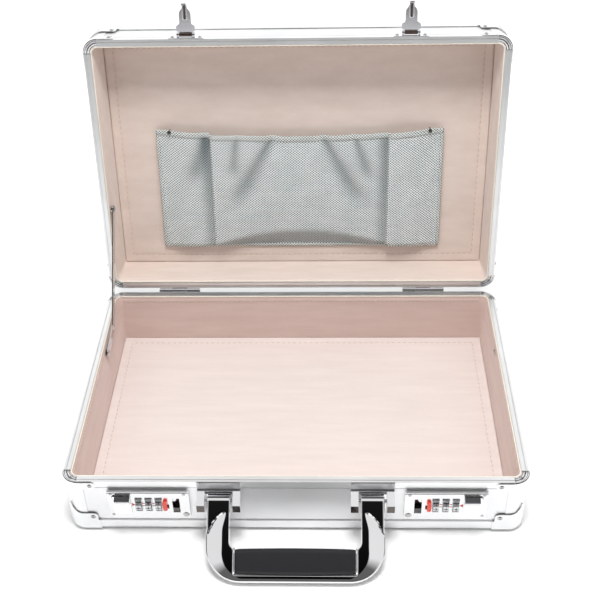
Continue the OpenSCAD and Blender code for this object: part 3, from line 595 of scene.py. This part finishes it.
base_pad = pad("base_floor_pad", BASE_H, BASE_IN, base_point, FLOOR_CLOTH, "base",
               "base_floor_lining", 1.3)
lid_pad = pad("lid_panel_pad", LID_H, LID_IN, lid_point, LID_CLOTH, "lid",
              "lid_panel_lining", 7.9)
pad_stitches("base_floor_stitches", base_pad, base_point, "base", 1.3)
pad_stitches("lid_panel_stitches", lid_pad, lid_point, "lid", 7.9)
wall_cloth("base_wall_cloth", BASE_H, BASE_IN, base_point, BASE_CLOTH, "base",
           "base_wall_lining", 3.1)
wall_cloth("lid_wall_cloth", LID_H, LID_IN, lid_point, LID_CLOTH, "lid",
           "lid_wall_lining", 5.7)
wall_seam("base_wall_stitches", BASE_H, BASE_IN, base_point, "base")

# ---- lid pocket ----
POCKET_HALF = 162.6
POCKET_TOP, POCKET_LOW = -31.0, 113.0
POCKET_LONG = POCKET_LOW - POCKET_TOP
POCKET_GAP = 10.0
PANEL_Z = LID_H - FLOOR_H
PLEAT_X = 101.0
HEM_SAG, HEM_WIDE = 7.0, 6.0
TACK_X = 147.0
NET_FOLDS = ((-30, -84, 0.72, 7.0, 4.8), (26, 78, 0.72, 7.0, 4.8), (-72, -78, 0.4, 4.2, 2.6),
             (62, 84, 0.45, 4.6, 2.8), (-106, -128, 0.5, 7.0, 3.0))
NET_LEAST, NET_SEWN = 0.7, 1.0
NET_BELLY, NET_HOLLOW = 2.6, 1.5
SIDE_SHARE, SIDE_RUN = 0.35, 0.2
PLEAT_RISE, PLEAT_DIP, PLEAT_EDGE = 3.4, 2.4, 1.2
FOLD_SHADE, PLEAT_SHADE, SEAM_SHADE = 0.6, 0.75, 0.55
SEAM_V, SEAM_BOW, SEAM_HALF = 0.97, 0.16, 104.0
BIND_IN, BIND_V, BIND_SIDE, BIND_LOW = 1.6, 0.988, 3.6, 3.4


def mouth_y(x):
    """The mouth's edge, which sags between the tacks."""
    return POCKET_TOP + HEM_SAG * max(0.0, 1 - (x / TACK_X) ** 2)


def net_y(x, v):
    """Where a share v of the way from the mouth to the lower edge lies."""
    return mouth_y(x) + (POCKET_LOW - mouth_y(x)) * v


def seam_v(x):
    """The share v at which the net meets the lid: its lower seam bows up in the middle."""
    return SEAM_V - SEAM_BOW * max(0.0, 1 - (x / SEAM_HALF) ** 2)


def trough(x, v, x0, x1, v1, wide, deep):
    """A soft fold that runs down and fans out from the mouth."""
    t = v / v1
    centre = x0 + (x1 - x0) * t
    width = wide * (0.7 + 1.4 * t)
    return deep * math.exp(-(((x - centre) / width) ** 2)) * (1 - smoothstep(0.55, 1.0, t))


def net_rise(x, v):
    """How far the net stands off the lid's panel, v running from the mouth to the lower seam."""
    across = max(0.0, 1 - (x / POCKET_HALF) ** 2)
    arc = seam_v(x)
    full = POCKET_GAP + (NET_BELLY * across - NET_HOLLOW) * math.sin(math.pi * min(1, v / arc))
    fall = 1 - smoothstep(arc, 1.0, v)
    side = SIDE_SHARE + (1 - SIDE_SHARE) * smoothstep(0.0, SIDE_RUN, 1 - abs(x) / POCKET_HALF)
    rise = NET_SEWN + (full - NET_SEWN) * side * fall
    for pleat in (-PLEAT_X, PLEAT_X):
        step = smoothstep(-PLEAT_EDGE, PLEAT_EDGE, x - pleat)
        fade = 1 - smoothstep(4, 42, x - pleat)
        before = smoothstep(-26, -2, x - pleat) * (1 - step)
        rise += (PLEAT_RISE * step * fade - PLEAT_DIP * before) * (1 - 0.35 * v) * fall
    for fold in NET_FOLDS:
        rise -= trough(x, v, *fold)
    rise += 0.35 * ripple(x, v * POCKET_LONG, 26, 2.2) * fall
    return max(NET_LEAST, rise)


def net_shade(x, v):
    """How much darker the net is painted here, from 0 to 1: partly where it lies double, partly as painted
    shade in its troughs and beside its pleats, and also below its lower seam.
    """
    shade = sum(trough(x, v, *fold) / fold[4] * FOLD_SHADE for fold in NET_FOLDS)
    for pleat in (-PLEAT_X, PLEAT_X):
        beside = pleat - x
        band = smoothstep(-1.0, 1.0, beside) * (1 - smoothstep(3.0, 17.0, beside))
        shade += PLEAT_SHADE * band * (1 - 0.45 * v)
    if abs(x) < SEAM_HALF:
        shade += SEAM_SHADE * smoothstep(seam_v(x) - 0.02, seam_v(x) + 0.05, v)
    return min(1.0, max(0.0, shade))


def across_net(count):
    """Even positions from one side of the pocket to the other."""
    return [-POCKET_HALF + 2 * POCKET_HALF * i / count for i in range(count + 1)]


def hem_tape():
    """The tape over the mouth's edge."""
    columns, rows = across_net(120), 6
    verts, flat = [], []
    for x in columns:
        for j in range(rows):
            t = j / (rows - 1)
            y = mouth_y(x) - HEM_WIDE / 2 + HEM_WIDE * t
            lift = net_rise(x, max(0.0, (y - mouth_y(x)) / POCKET_LONG))
            lift += 0.7 * math.sin(math.pi * (0.1 + 0.8 * t))
            verts.append(lid_point(x, y, PANEL_Z - lift - 0.3))
            flat.append((x, HEM_WIDE * t))
    faces = ring_faces(len(columns), rows, closed_rings=False)
    return solid(piece("pocket_hem_tape", verts, faces, BAND, "lid", uvs=flat), 0.7)


def edge_binding():
    """The tape down both sides and along the lower seam."""
    runs = [([(s * (POCKET_HALF - BIND_IN), k / 40) for k in range(41)], (s, 0)) for s in (-1, 1)]
    runs.append(([(x, BIND_V) for x in across_net(90)], (0, 1)))
    verts, faces, flat = [], [], []
    for line, out in runs:
        faces += shifted(ring_faces(len(line), 5, closed_rings=False), len(verts))
        for x, v in line:
            for j in range(5):
                t = j / 4 - 0.5
                px = min(POCKET_HALF, max(-POCKET_HALF, x + out[0] * t * BIND_SIDE))
                y = net_y(px, v) + out[1] * t * BIND_LOW
                lift = net_rise(px, v) + 0.45 + 0.5 * math.cos(math.pi * t)
                verts.append(lid_point(px, y, PANEL_Z - lift))
                flat.append((y if out[0] else px, 4 * t))
    return solid(piece("pocket_binding", verts, faces, BAND, "lid", uvs=flat), 0.5)


def pocket():
    """The net panel with its hem and binding."""
    beside = [pleat + step for pleat in (-PLEAT_X, PLEAT_X) for step in (-1.2, -0.6, 0.0, 0.6, 1.2)]
    xs = sorted({*across_net(170), *beside})
    grid = [(x, i / 56) for i in range(57) for x in xs]
    verts = [lid_point(x, net_y(x, v), PANEL_Z - net_rise(x, v)) for x, v in grid]
    body = piece("pocket_net_panel", verts, ring_faces(57, len(xs), closed_rings=False), NET,
                 "lid", uvs=[(x, POCKET_LONG * v) for x, v in grid])
    # how much darker the net is painted, partly as painted shade, kept in a UV layer for its material
    layer = body.data.uv_layers.new(name="fold")
    shades = [(net_shade(x, v), 0.0) for x, v in grid]
    for loop in body.data.loops:
        layer.data[loop.index].uv = shades[loop.vertex_index]
    solid(body, 0.5)
    hem, binding = hem_tape(), edge_binding()
    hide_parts("pocket_mesh")
    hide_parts("pocket_hem")


pocket()


def lathe(name, spots, profile, look, body, steps=20):
    """The same turned shape at several places: (origin, axis) pairs; profile is (radius, along)."""
    verts, faces = [], []
    for origin, axis in spots:
        side = axis.orthogonal().normalized()
        other = axis.cross(side).normalized()
        faces += tube_faces(len(verts), len(profile), steps)
        for r, along in profile:
            for k in range(steps):
                a = math.tau * k / steps
                verts.append(origin + axis * along * MM + (side * math.cos(a) + other * math.sin(a)) * r * MM)
    return piece(name, verts, faces, look, body)


TACK_IN = 1.4
TACK_PROFILE = ((0.7, 0.0), (0.7, 9.6), (2.1, 9.8), (2.3, 10.4), (2.0, 11.2), (1.1, 11.8), (0.2, 12.0))
inward = (lid_point(0, 0, 0) - lid_point(0, 0, 1)).normalized()
tack_spots = [(lid_point(s * TACK_X, POCKET_TOP - TACK_IN, PANEL_Z), inward) for s in (-1, 1)]
tacks = lathe("pocket_tack_heads", tack_spots, TACK_PROFILE, TACK, "lid")
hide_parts("pocket_tacks")

# ---- rim corners ----
RIM_TAB_MID, RIM_TAB_R, RIM_TAB_END = 5.8, 4.4, 28.1
RIM_FACE, RIB_DEEP, RIBS = 0.45, 0.85, 3
RIM_TURNS = 12
TAB_CHAMFER = 0.35
# strips round the profile that get painted shade: the valleys between the ribs and one strip of the outer
# rounded edge
GROOVE_STRIPS = (2, 5, 9, 10, 14)


def rim_profile():
    """Radius from the corner's axis and depth from the parting plane, round the section."""
    outer, inner = CORNER_R + CAP_T, CORNER_R - RIM_W
    line = [(outer, RIM_H), (outer, 2.2), (outer - 0.3, 1.1), (outer - 1.0, RIM_FACE)]
    for k in range(13):
        t = k / 12
        r = outer - 1.4 + (inner + 0.5 - outer + 1.4) * t
        line.append((r, RIM_FACE + RIB_DEEP * abs(math.sin(RIBS * math.pi * t)) ** 0.6))
    line += [(inner + 0.1, 0.8), (inner, 1.6), (inner, RIM_H)]
    return line


def tab_outline():
    """A tab's outline: distance from the case's corner and depth from the parting plane."""
    line = [(CORNER_R - 0.5, RIM_TAB_MID + RIM_TAB_R), (CORNER_R - 0.5, RIM_TAB_MID - RIM_TAB_R)]
    for k in range(RIM_TURNS + 1):
        b = math.radians(-90 + 180 * k / RIM_TURNS)
        line.append((RIM_TAB_END + RIM_TAB_R * math.cos(b), RIM_TAB_MID + RIM_TAB_R * math.sin(b)))
    return line


def rim_corner_piece(name, where, body, node):
    """Four ribbed caps on the corners of a half's rim, each with two tabs."""
    verts, faces, grooves = [], [], []
    profile, outline = rim_profile(), tab_outline()
    cx, cy = HALF_W - CORNER_R, HALF_D - CORNER_R
    for sx, sy in ((-1, -1), (-1, 1), (1, -1), (1, 1)):
        for j in range(RIM_TURNS):
            grooves += [len(faces) + j * len(profile) + k for k in GROOVE_STRIPS]
        faces += tube_faces(len(verts), RIM_TURNS + 1, len(profile))
        for j in range(RIM_TURNS + 1):
            a = math.radians(90 * j / RIM_TURNS)
            verts += [where(sx * (cx + r * math.cos(a)), sy * (cy + r * math.sin(a)), z) for r, z in profile]
        for leg in (0, 1):
            faces += tube_faces(len(verts), 3, len(outline))
            for shrink, out in ((0.0, 0.0), (0.0, CAP_T - TAB_CHAMFER), (TAB_CHAMFER, CAP_T)):
                for u, z in outline:
                    along = u - shrink if u > CORNER_R + 1 else u
                    down = RIM_TAB_MID + (z - RIM_TAB_MID) * (1 - shrink / RIM_TAB_R)
                    x, y = (HALF_W - along, HALF_D + out) if leg else (HALF_W + out, HALF_D - along)
                    verts.append(where(sx * x, sy * y, down))
    obj = piece(name, verts, faces, RIM_CHROME, body)
    # painted shade on the groove strips
    obj.data.materials.append(DARK_SHADE_AND_REFLECTION)
    for number in grooves:
        obj.data.polygons[number].material_index = 1
    obj.data.set_sharp_from_angle(angle=math.radians(42))
    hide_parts(node)


rim_corner_piece("base_rim_corner_caps", base_point, "base", "base_rim_corners")
rim_corner_piece("lid_rim_corner_caps", lid_point, "lid", "lid_rim_corners")

# ---- handle ----
BOW_OUT, BOW_IN = 85.25, 62.75
BOW_R = 33.0
REACH = 76.0
BOW_T = 4.5
GRIP_HALF, GRIP_NEAR, GRIP_FAR = 59.0, 44.0, 69.0
ARC_X, ARC_REACH = BOW_OUT - BOW_R, REACH - BOW_R
FACET = math.tan(math.radians(14.5))
LUG_NEAR, LUG_SPREAD, LUG_CURVE = 9.6, 23.0, 2.2
LUG_ENDS = (-4.5, -4.42, -4.1, -3.5, -2.6, -1.4, 0.0)
LEG_END = 38
BEND_STEPS, BEND_START, MIDDLE_STEPS = 44, 0.12, 14
BEND_INNER = ((BOW_IN, LEG_END), (62.4, 40.2), (61.6, 42.0), (60.3, 43.4), (GRIP_HALF, 44.6),
              (GRIP_HALF, 67.6), (58.4, 68.7), (57.0, GRIP_FAR), (ARC_X, GRIP_FAR))
EDGE_IN_R, EDGE_OUT_R = 0.8, 1.8
ACROSS_LOW, ACROSS_RUN, ACROSS_STEPS = 0.1, 0.78, 26
ACROSS_START, ACROSS_END = (0.0, 0.012, 0.03, 0.06, ACROSS_LOW), (0.91, 0.94, 0.965, 0.985, 1.0)
GRIP_END, GRIP_STEPS = 57.4, 60
GRIP_R, GRIP_T, GRIP_ROUND = 11.6, 6.0, 4.4
CROWN_R, CROWN_T, END_DROP = 0.8, 0.95, 0.6
FERRULE = ((57.2, 0.0), (57.4, 0.45), (57.9, 0.75), (58.6, 0.75), (59.0, 0.5), (59.1, 0.0))


def lug_end(x):
    """Where the flat lug of a leg ends, across the leg."""
    w = min(1.0, max(0.0, (x - BOW_IN) / (BOW_OUT - BOW_IN)))
    return LUG_NEAR + LUG_SPREAD * w**LUG_CURVE


def past_band(x, reach):
    """How far a point lies outside the flat inner band, beyond which the bow falls away."""
    if reach < ARC_REACH:
        return x - (66.2 + 3.6 * smoothstep(9, 29, reach))
    angle = math.degrees(math.atan2(reach - ARC_REACH, max(0.0, x - ARC_X)))
    radius = math.hypot(max(0.0, x - ARC_X), reach - ARC_REACH)
    return radius - (17.55 + 11.5 * (angle / 90) ** 1.5)


def bow_rise(x, reach):
    """Half the bow's thickness, less where it falls away outside the band."""
    fall = FACET * max(0.0, past_band(x, reach))
    below = smoothstep(-0.4, 0.4, reach - lug_end(x)) if reach < ARC_REACH else 1.0
    return BOW_T - fall * below


def bow_sections():
    """Pairs of inner and outer points from a leg's pivot round to the middle."""
    pairs = [((BOW_IN, r), (BOW_OUT, r)) for r in (*LUG_ENDS, *range(1, LEG_END + 1))]
    lengths = [0.0]
    for p, q in zip(BEND_INNER, BEND_INNER[1:]):
        lengths.append(lengths[-1] + math.dist(p, q))
    for i in range(1, BEND_STEPS + 1):
        u = i / BEND_STEPS
        want = u * lengths[-1]
        k = max(j for j in range(len(lengths) - 1) if lengths[j] <= want + 1e-9)
        t = (want - lengths[k]) / (lengths[k + 1] - lengths[k])
        p, q = BEND_INNER[k], BEND_INNER[k + 1]
        near = (p[0] + (q[0] - p[0]) * t, p[1] + (q[1] - p[1]) * t)
        if u < BEND_START:
            far = (BOW_OUT, LEG_END + (ARC_REACH - LEG_END) * u / BEND_START)
        else:
            a = math.radians(90 * (u - BEND_START) / (1 - BEND_START))
            far = (ARC_X + BOW_R * math.cos(a), ARC_REACH + BOW_R * math.sin(a))
        pairs.append((near, far))
    middle = [ARC_X * (1 - k / MIDDLE_STEPS) for k in range(1, MIDDLE_STEPS + 1)]
    return pairs + [((x, GRIP_FAR), (x, REACH)) for x in middle]


def handle_bow():
    """The chrome bow, swept through its sections from one pivot to the other."""
    ws = [ACROSS_LOW + ACROSS_RUN * k / ACROSS_STEPS for k in range(1, ACROSS_STEPS + 1)]
    ws = [*ACROSS_START, *ws, *ACROSS_END]
    half = bow_sections()
    run = [(p, q, 1) for p, q in half] + [(p, q, -1) for p, q in reversed(half[:-1])]
    verts = []
    for (ix, ir), (ox, orr), side in run:
        wide = math.dist((ix, ir), (ox, orr))
        limit = math.sqrt(max(0.0, BOW_T**2 - min(0.0, ir) ** 2))
        ring = []
        for w in ws:
            x, reach = ix + (ox - ix) * w, ir + (orr - ir) * w
            top = min(bow_rise(x, reach), limit) if ir <= 0 else bow_rise(x, reach)
            edge = 1.0
            for gap, r in ((w * wide, EDGE_IN_R), ((1 - w) * wide, EDGE_OUT_R)):
                if gap < r:
                    edge = min(edge, 1 - (r / BOW_T) * (1 - math.sqrt(max(0.0, 1 - (1 - gap / r) ** 2))))
            ring.append((x, reach, top * edge, limit * edge))
        verts += [handle_point(side * x, reach, top) for x, reach, top, low in ring]
        verts += [handle_point(side * x, reach, -low) for x, reach, top, low in reversed(ring)]
    faces = tube_faces(0, len(run), 2 * len(ws))
    obj = piece("handle_bow_chrome", verts, faces, CHROME, "handle")
    obj.data.set_sharp_from_angle(angle=math.radians(35))
    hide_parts("handle_bow")


def rounded_section(half_r, half_t, radius, turns=6):
    """A rounded rectangle round the origin."""
    points = []
    for k, (sr, st) in enumerate(((1, -1), (1, 1), (-1, 1), (-1, -1))):
        for j in range(turns + 1):
            a = math.radians(-90 + 90 * k + 90 * j / turns)
            points.append((sr * (half_r - radius) + radius * math.cos(a),
                           st * (half_t - radius) + radius * math.sin(a)))
    return points


def loft(name, stations, look):
    """A closed form along X through rounded sections: (x, half reach, half thickness, radius)."""
    middle = (GRIP_NEAR + GRIP_FAR) / 2
    verts = []
    for x, *section in stations:
        ring = rounded_section(*section)
        verts += [handle_point(x, middle + r, t) for r, t in ring]
    return piece(name, verts, tube_faces(0, len(stations), len(ring)), look, "handle")


def handle_grip():
    """The black grip and the chrome ferrule at each of its ends."""
    stations = []
    for k in range(GRIP_STEPS + 1):
        x = -GRIP_END + 2 * GRIP_END * k / GRIP_STEPS
        crown = 1 - (x / GRIP_END) ** 2
        drop = END_DROP * (abs(x) / GRIP_END) ** 30
        stations.append((x, GRIP_R + CROWN_R * crown - drop, GRIP_T + CROWN_T * crown - drop, GRIP_ROUND))
    grip = loft("handle_grip_rubber", stations, GRIP)
    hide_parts("handle_grip")
    for s, tag in ((-1, "left"), (1, "right")):
        rings = [(s * x, GRIP_R + 0.1 + g, GRIP_T + g, GRIP_ROUND + g / 2) for x, g in FERRULE]
        loft(f"handle_ferrule_{tag}", rings, CHROME)


handle_bow()
handle_grip()


# ---- locks ----
BAR_XS, BAR_ZS, BAR_HALF = ((140.0, 142.3), (149.7, 152.0)), (39.7, 43.1), 0.5
ARROW_XS, ARROW_ZS = (159.5, 162.6), (41.4, 39.0, 43.8)
FIGURE_SIZE, FIGURE_OUT, PAINT_T = 4.6, 0.07, 0.12


def extruded(name, outlines, depth, look, body):
    """Flat outlines (x, z) on the lock plate's face, standing a little proud of it."""
    verts, faces = [], []
    for outline in outlines:
        faces += tube_faces(len(verts), 2, len(outline))
        for y in (PLATE_Y + 0.02, PLATE_Y - depth):
            verts += [plain_point(x, y, z) for x, z in outline]
    return piece(name, verts, faces, look, body, smooth=False)


def lock_marks(sign, tag):
    """The red bars between the dials and the arrow beside them."""
    marks = []
    for ends in BAR_XS:
        a, b = (lock_x(sign, x) for x in ends)
        for z in BAR_ZS:
            low, high = z - BAR_HALF, z + BAR_HALF
            marks.append([(a, low), (b, low), (b, high), (a, high)])
    tip, tail = (lock_x(sign, x) for x in ARROW_XS)
    marks.append(list(zip((tip, tail, tail), ARROW_ZS)))
    extruded(f"lock_marks_{tag}", marks, PAINT_T, MARK, "base")


def dial_figures(sign, tag, index):
    """The ten figures round a dial, standing just proud of its rim."""
    centre = lock_x(sign, DIAL_XS[index - 1])
    verts, faces = [], []
    for digit in range(10):
        curve = bpy.data.curves.new("digit", "FONT")
        curve.body = str((digit + index * 2) % 10)
        curve.size = FIGURE_SIZE
        curve.align_x = "CENTER"
        curve.align_y = "CENTER"
        curve.resolution_u = 3
        text = bpy.data.objects.new("digit", curve)
        bpy.context.scene.collection.objects.link(text)
        mesh = text.to_mesh()
        start = len(verts)
        turn = math.radians(36 * digit)
        for v in mesh.vertices:
            a = turn + v.co.y / DIAL_R
            r = DIAL_R + FIGURE_OUT
            verts.append(plain_point(centre + v.co.x, DIAL_Y - r * math.cos(a), DIAL_Z + r * math.sin(a)))
        faces += shifted([f.vertices for f in mesh.polygons], start)
        text.to_mesh_clear()
        bpy.data.objects.remove(text)
        bpy.data.curves.remove(curve)
    obj = piece(f"dial_{tag}_{index}_figures", verts, faces, FIGURE, f"dial_{tag}_{index}")
    solid(obj, PAINT_T)


for lock_sign, lock_tag in ((-1, "left"), (1, "right")):
    lock_marks(lock_sign, lock_tag)
    for dial_index in (1, 2, 3):
        dial_figures(lock_sign, lock_tag, dial_index)


# ---- hasps ----
HASP_Y, HASP_Z = -150.6, 5.0
HASP_XS = {"left": LOCK_SHIFT - 119.5, "right": 119.5}
HASP_FACE, HASP_BACK = 0.8, 2.2
HASP_TIP = 33.0
HASP_SIDE = ((2.0, 6.4), (3.2, 9.4), (3.8, 9.9), (8.4, 9.9), (9.0, 9.4), (10.6, 6.7), (12.0, 6.3),
             (20.5, 6.3), (22.8, 5.8), (24.8, 4.6), (26.4, 3.2), (28.0, 2.65), (32.2, 2.65), (33.0, 2.2))
HASP_LOOP = (2.5, 14.5, 31.8)
BARREL_HALF, BARREL_SIDES = 6.7, 20
WIRE_R, WIRE_RISE, WIRE_SIDES, LOOP_TURNS = 0.75, 0.25, 8, 24
SLOT_WIDE, SLOT_LONG = 0.5, 0.97
HOOK_BASE, HOOK_TIP, HOOK_T, HOOK_END = 2.6, 2.2, 1.8, -4.0


def hasp_link(tag):
    """A hasp's link: barrel, shoulders, tapering body with a raised loop, and hook."""
    verts, faces, dark = [], [], []
    x0 = HASP_XS[tag]

    def put(x, along, high):
        verts.append(lid_point(x0 + x, HASP_Y - along, HASP_Z + high))

    def closed(start, rings, size, shaded=False):
        first = len(faces)
        faces.extend(tube_faces(start, rings, size))
        dark.extend(range(first, len(faces)) if shaded else ())

    outline = [(w, a) for a, w in HASP_SIDE] + [(-w, a) for a, w in reversed(HASP_SIDE)]
    for shrink, high in ((0.3, HASP_FACE), (0.0, HASP_FACE + 0.3), (0.0, HASP_BACK)):
        for w, a in outline:
            put(w - math.copysign(shrink, w), a, high)
    closed(0, 3, len(outline))
    start = len(verts)
    for end in (-BARREL_HALF, BARREL_HALF):
        for k in range(BARREL_SIDES):
            angle = math.tau * k / BARREL_SIDES
            put(end, HASP_BACK * math.cos(angle), HASP_BACK * math.sin(angle))
    closed(start, 2, BARREL_SIDES, shaded=True)
    # the raised loop, a rounded wire round a long slot
    half, low, high_end = HASP_LOOP
    path = []
    for begin, centre in ((0.0, high_end - half), (math.pi, low + half)):
        for k in range(LOOP_TURNS + 1):
            angle = begin + math.pi * k / LOOP_TURNS
            path.append((half * math.cos(angle), centre + half * math.sin(angle)))
    start = len(verts)
    for x, a in path:
        out = Vector((x, a - min(high_end - half, max(low + half, a)))).normalized()
        for k in range(WIRE_SIDES):
            angle = math.tau * k / WIRE_SIDES
            r = WIRE_R * math.cos(angle)
            put(x + out.x * r - out.x * WIRE_R, a + out.y * r - out.y * WIRE_R,
                HASP_FACE + 0.05 - WIRE_RISE * math.sin(angle))
    faces.extend(shifted(ring_faces(len(path), WIRE_SIDES, closed_run=True), start))
    start = len(verts)
    for high in (HASP_FACE - 0.08, HASP_FACE + 0.4):
        for x, a in path:
            put(x * SLOT_WIDE, low + half + (a - low - half) * SLOT_LONG, high)
    closed(start, 2, len(path), shaded=True)
    start = len(verts)
    for high in (HASP_BACK, HOOK_END):
        for x, a in ((-HOOK_BASE, HASP_TIP - HOOK_T), (HOOK_BASE, HASP_TIP - HOOK_T),
                     (HOOK_TIP, HASP_TIP), (-HOOK_TIP, HASP_TIP)):
            put(x, a, high)
    closed(start, 2, 4)
    obj = piece(f"hasp_loop_{tag}", verts, faces, HASP, f"hasp_{tag}")
    obj.data.materials.append(HASP_DARK)
    for number in dark:
        obj.data.polygons[number].material_index = 1
    obj.data.set_sharp_from_angle(angle=math.radians(30))
    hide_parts(f"hasp_link_{tag}")


hasp_link("left")
hasp_link("right")

# ---- studio ----
FLOOR_REACH = 6.0
FLOOR_GLOW, GLOW_START, GLOW_END = 0.22, -0.1, 0.6
WORLD_LEVEL = 0.82
# each cone of the world: direction, the angles at which it is full and gone, and the level inside
WORLD_CONES = (
    ((-0.03, -0.69, 0.72), 19, 22, 0.02), ((-1.0, -0.35, 0.42), 11, 15, 0.02),
    ((1.0, -0.35, 0.42), 11, 15, 0.02), ((0.0, 1.0, 0.3), 25, 45, 1.6), ((0.0, -0.97, 0.25), 31, 39, 0.15),
)
LAMP_AIM = (0.0, 0.05, 0.1)
# each lamp: name, place, size and power
LAMPS = (("overhead", (0.05, -0.32, 1.7), 0.45, 20.0), ("front_fill", (-0.7, -1.3, 0.9), 0.8, 1.0))
EYE = (36.99, -814.78, 827.71)
PITCH, YAW, ROLL, VIEW_ANGLE = (math.radians(a) for a in (38.597, -2.285, -1.558, 32.152))


def studio_floor():
    """A pale floor that glows a little towards the back."""
    floor_mesh = bpy.data.meshes.new("studio_floor")
    far = FLOOR_REACH
    corners = [(-far, -far, 0), (far, -far, 0), (far, far, 0), (-far, far, 0)]
    floor_mesh.from_pydata(corners, [], [(0, 1, 2, 3)])
    mat, tree, bsdf, place = shader("studio_floor")
    soft = ramp_of(tree, noise_of(tree, place, 3), (0.965, 0.965, 0.965), (0.98, 0.98, 0.98))
    tree.links.new(soft, bsdf.inputs["Base Color"])
    bsdf.inputs["Roughness"].default_value = 0.9
    bsdf.inputs["Specular IOR Level"].default_value = 0.1
    bsdf.inputs["Emission Color"].default_value = (1, 1, 1, 1)
    split = tree.nodes.new("ShaderNodeSeparateXYZ")
    tree.links.new(place, split.inputs[0])
    nearness = span(tree, split.outputs["Y"], start=GLOW_START, end=GLOW_END)
    tree.links.new(math_of(tree, "MULTIPLY", nearness, FLOOR_GLOW), bsdf.inputs["Emission Strength"])
    floor_mesh.materials.append(mat)
    floor = bpy.data.objects.new("studio_floor", floor_mesh)
    bpy.context.scene.collection.objects.link(floor)


def studio_world():
    """An even pale world with a few darker or brighter cones for the metal to reflect."""
    world = bpy.data.worlds.new("studio")
    bpy.context.scene.world = world
    world.use_nodes = True
    tree = world.node_tree
    background = tree.nodes["Background"]
    place = tree.nodes.new("ShaderNodeTexCoord").outputs["Generated"]
    value = None
    for direction, inner, outer, level in WORLD_CONES:
        dot = tree.nodes.new("ShaderNodeVectorMath")
        dot.operation = "DOT_PRODUCT"
        dot.inputs[1].default_value = Vector(direction).normalized()
        tree.links.new(place, dot.inputs[0])
        edge = (math.cos(math.radians(outer)), math.cos(math.radians(inner)))
        cone = span(tree, dot.outputs["Value"], 1.0, level, *edge)
        value = math_of(tree, "MULTIPLY", value, cone) if value else cone
    tree.links.new(math_of(tree, "MULTIPLY", value, WORLD_LEVEL), background.inputs["Strength"])
    background.inputs["Color"].default_value = (1, 1, 1, 1)


def studio_lamps():
    for name, spot, size, power in LAMPS:
        lamp = bpy.data.lights.new(name, "AREA")
        lamp.shape = "SQUARE"
        lamp.size = size
        lamp.energy = power
        light = bpy.data.objects.new(name, lamp)
        light.location = spot
        light.rotation_euler = (Vector(LAMP_AIM) - Vector(spot)).to_track_quat("-Z", "Y").to_euler()
        light.visible_glossy = False
        bpy.context.scene.collection.objects.link(light)
    bpy.context.scene.view_settings.view_transform = "Standard"


def camera():
    """The view the photograph was taken from."""
    eye = Vector(EYE) * MM
    ahead = Vector((math.sin(YAW) * math.cos(PITCH), math.cos(YAW) * math.cos(PITCH), -math.sin(PITCH)))
    right = ahead.cross(Vector((0, 0, 1))).normalized()
    up = right.cross(ahead)
    across = right * math.cos(ROLL) + up * math.sin(ROLL)
    upward = up * math.cos(ROLL) - right * math.sin(ROLL)
    data = bpy.data.cameras.new("photo_view")
    data.sensor_fit = "HORIZONTAL"
    data.angle = VIEW_ANGLE
    data.clip_start = 0.01
    obj = bpy.data.objects.new("photo_view", data)
    turn = Matrix((across, upward, -ahead)).transposed().to_4x4()
    obj.matrix_world = Matrix.Translation(eye) @ turn
    bpy.context.scene.collection.objects.link(obj)
    bpy.context.scene.camera = obj


studio_floor()
studio_world()
studio_lamps()
camera()
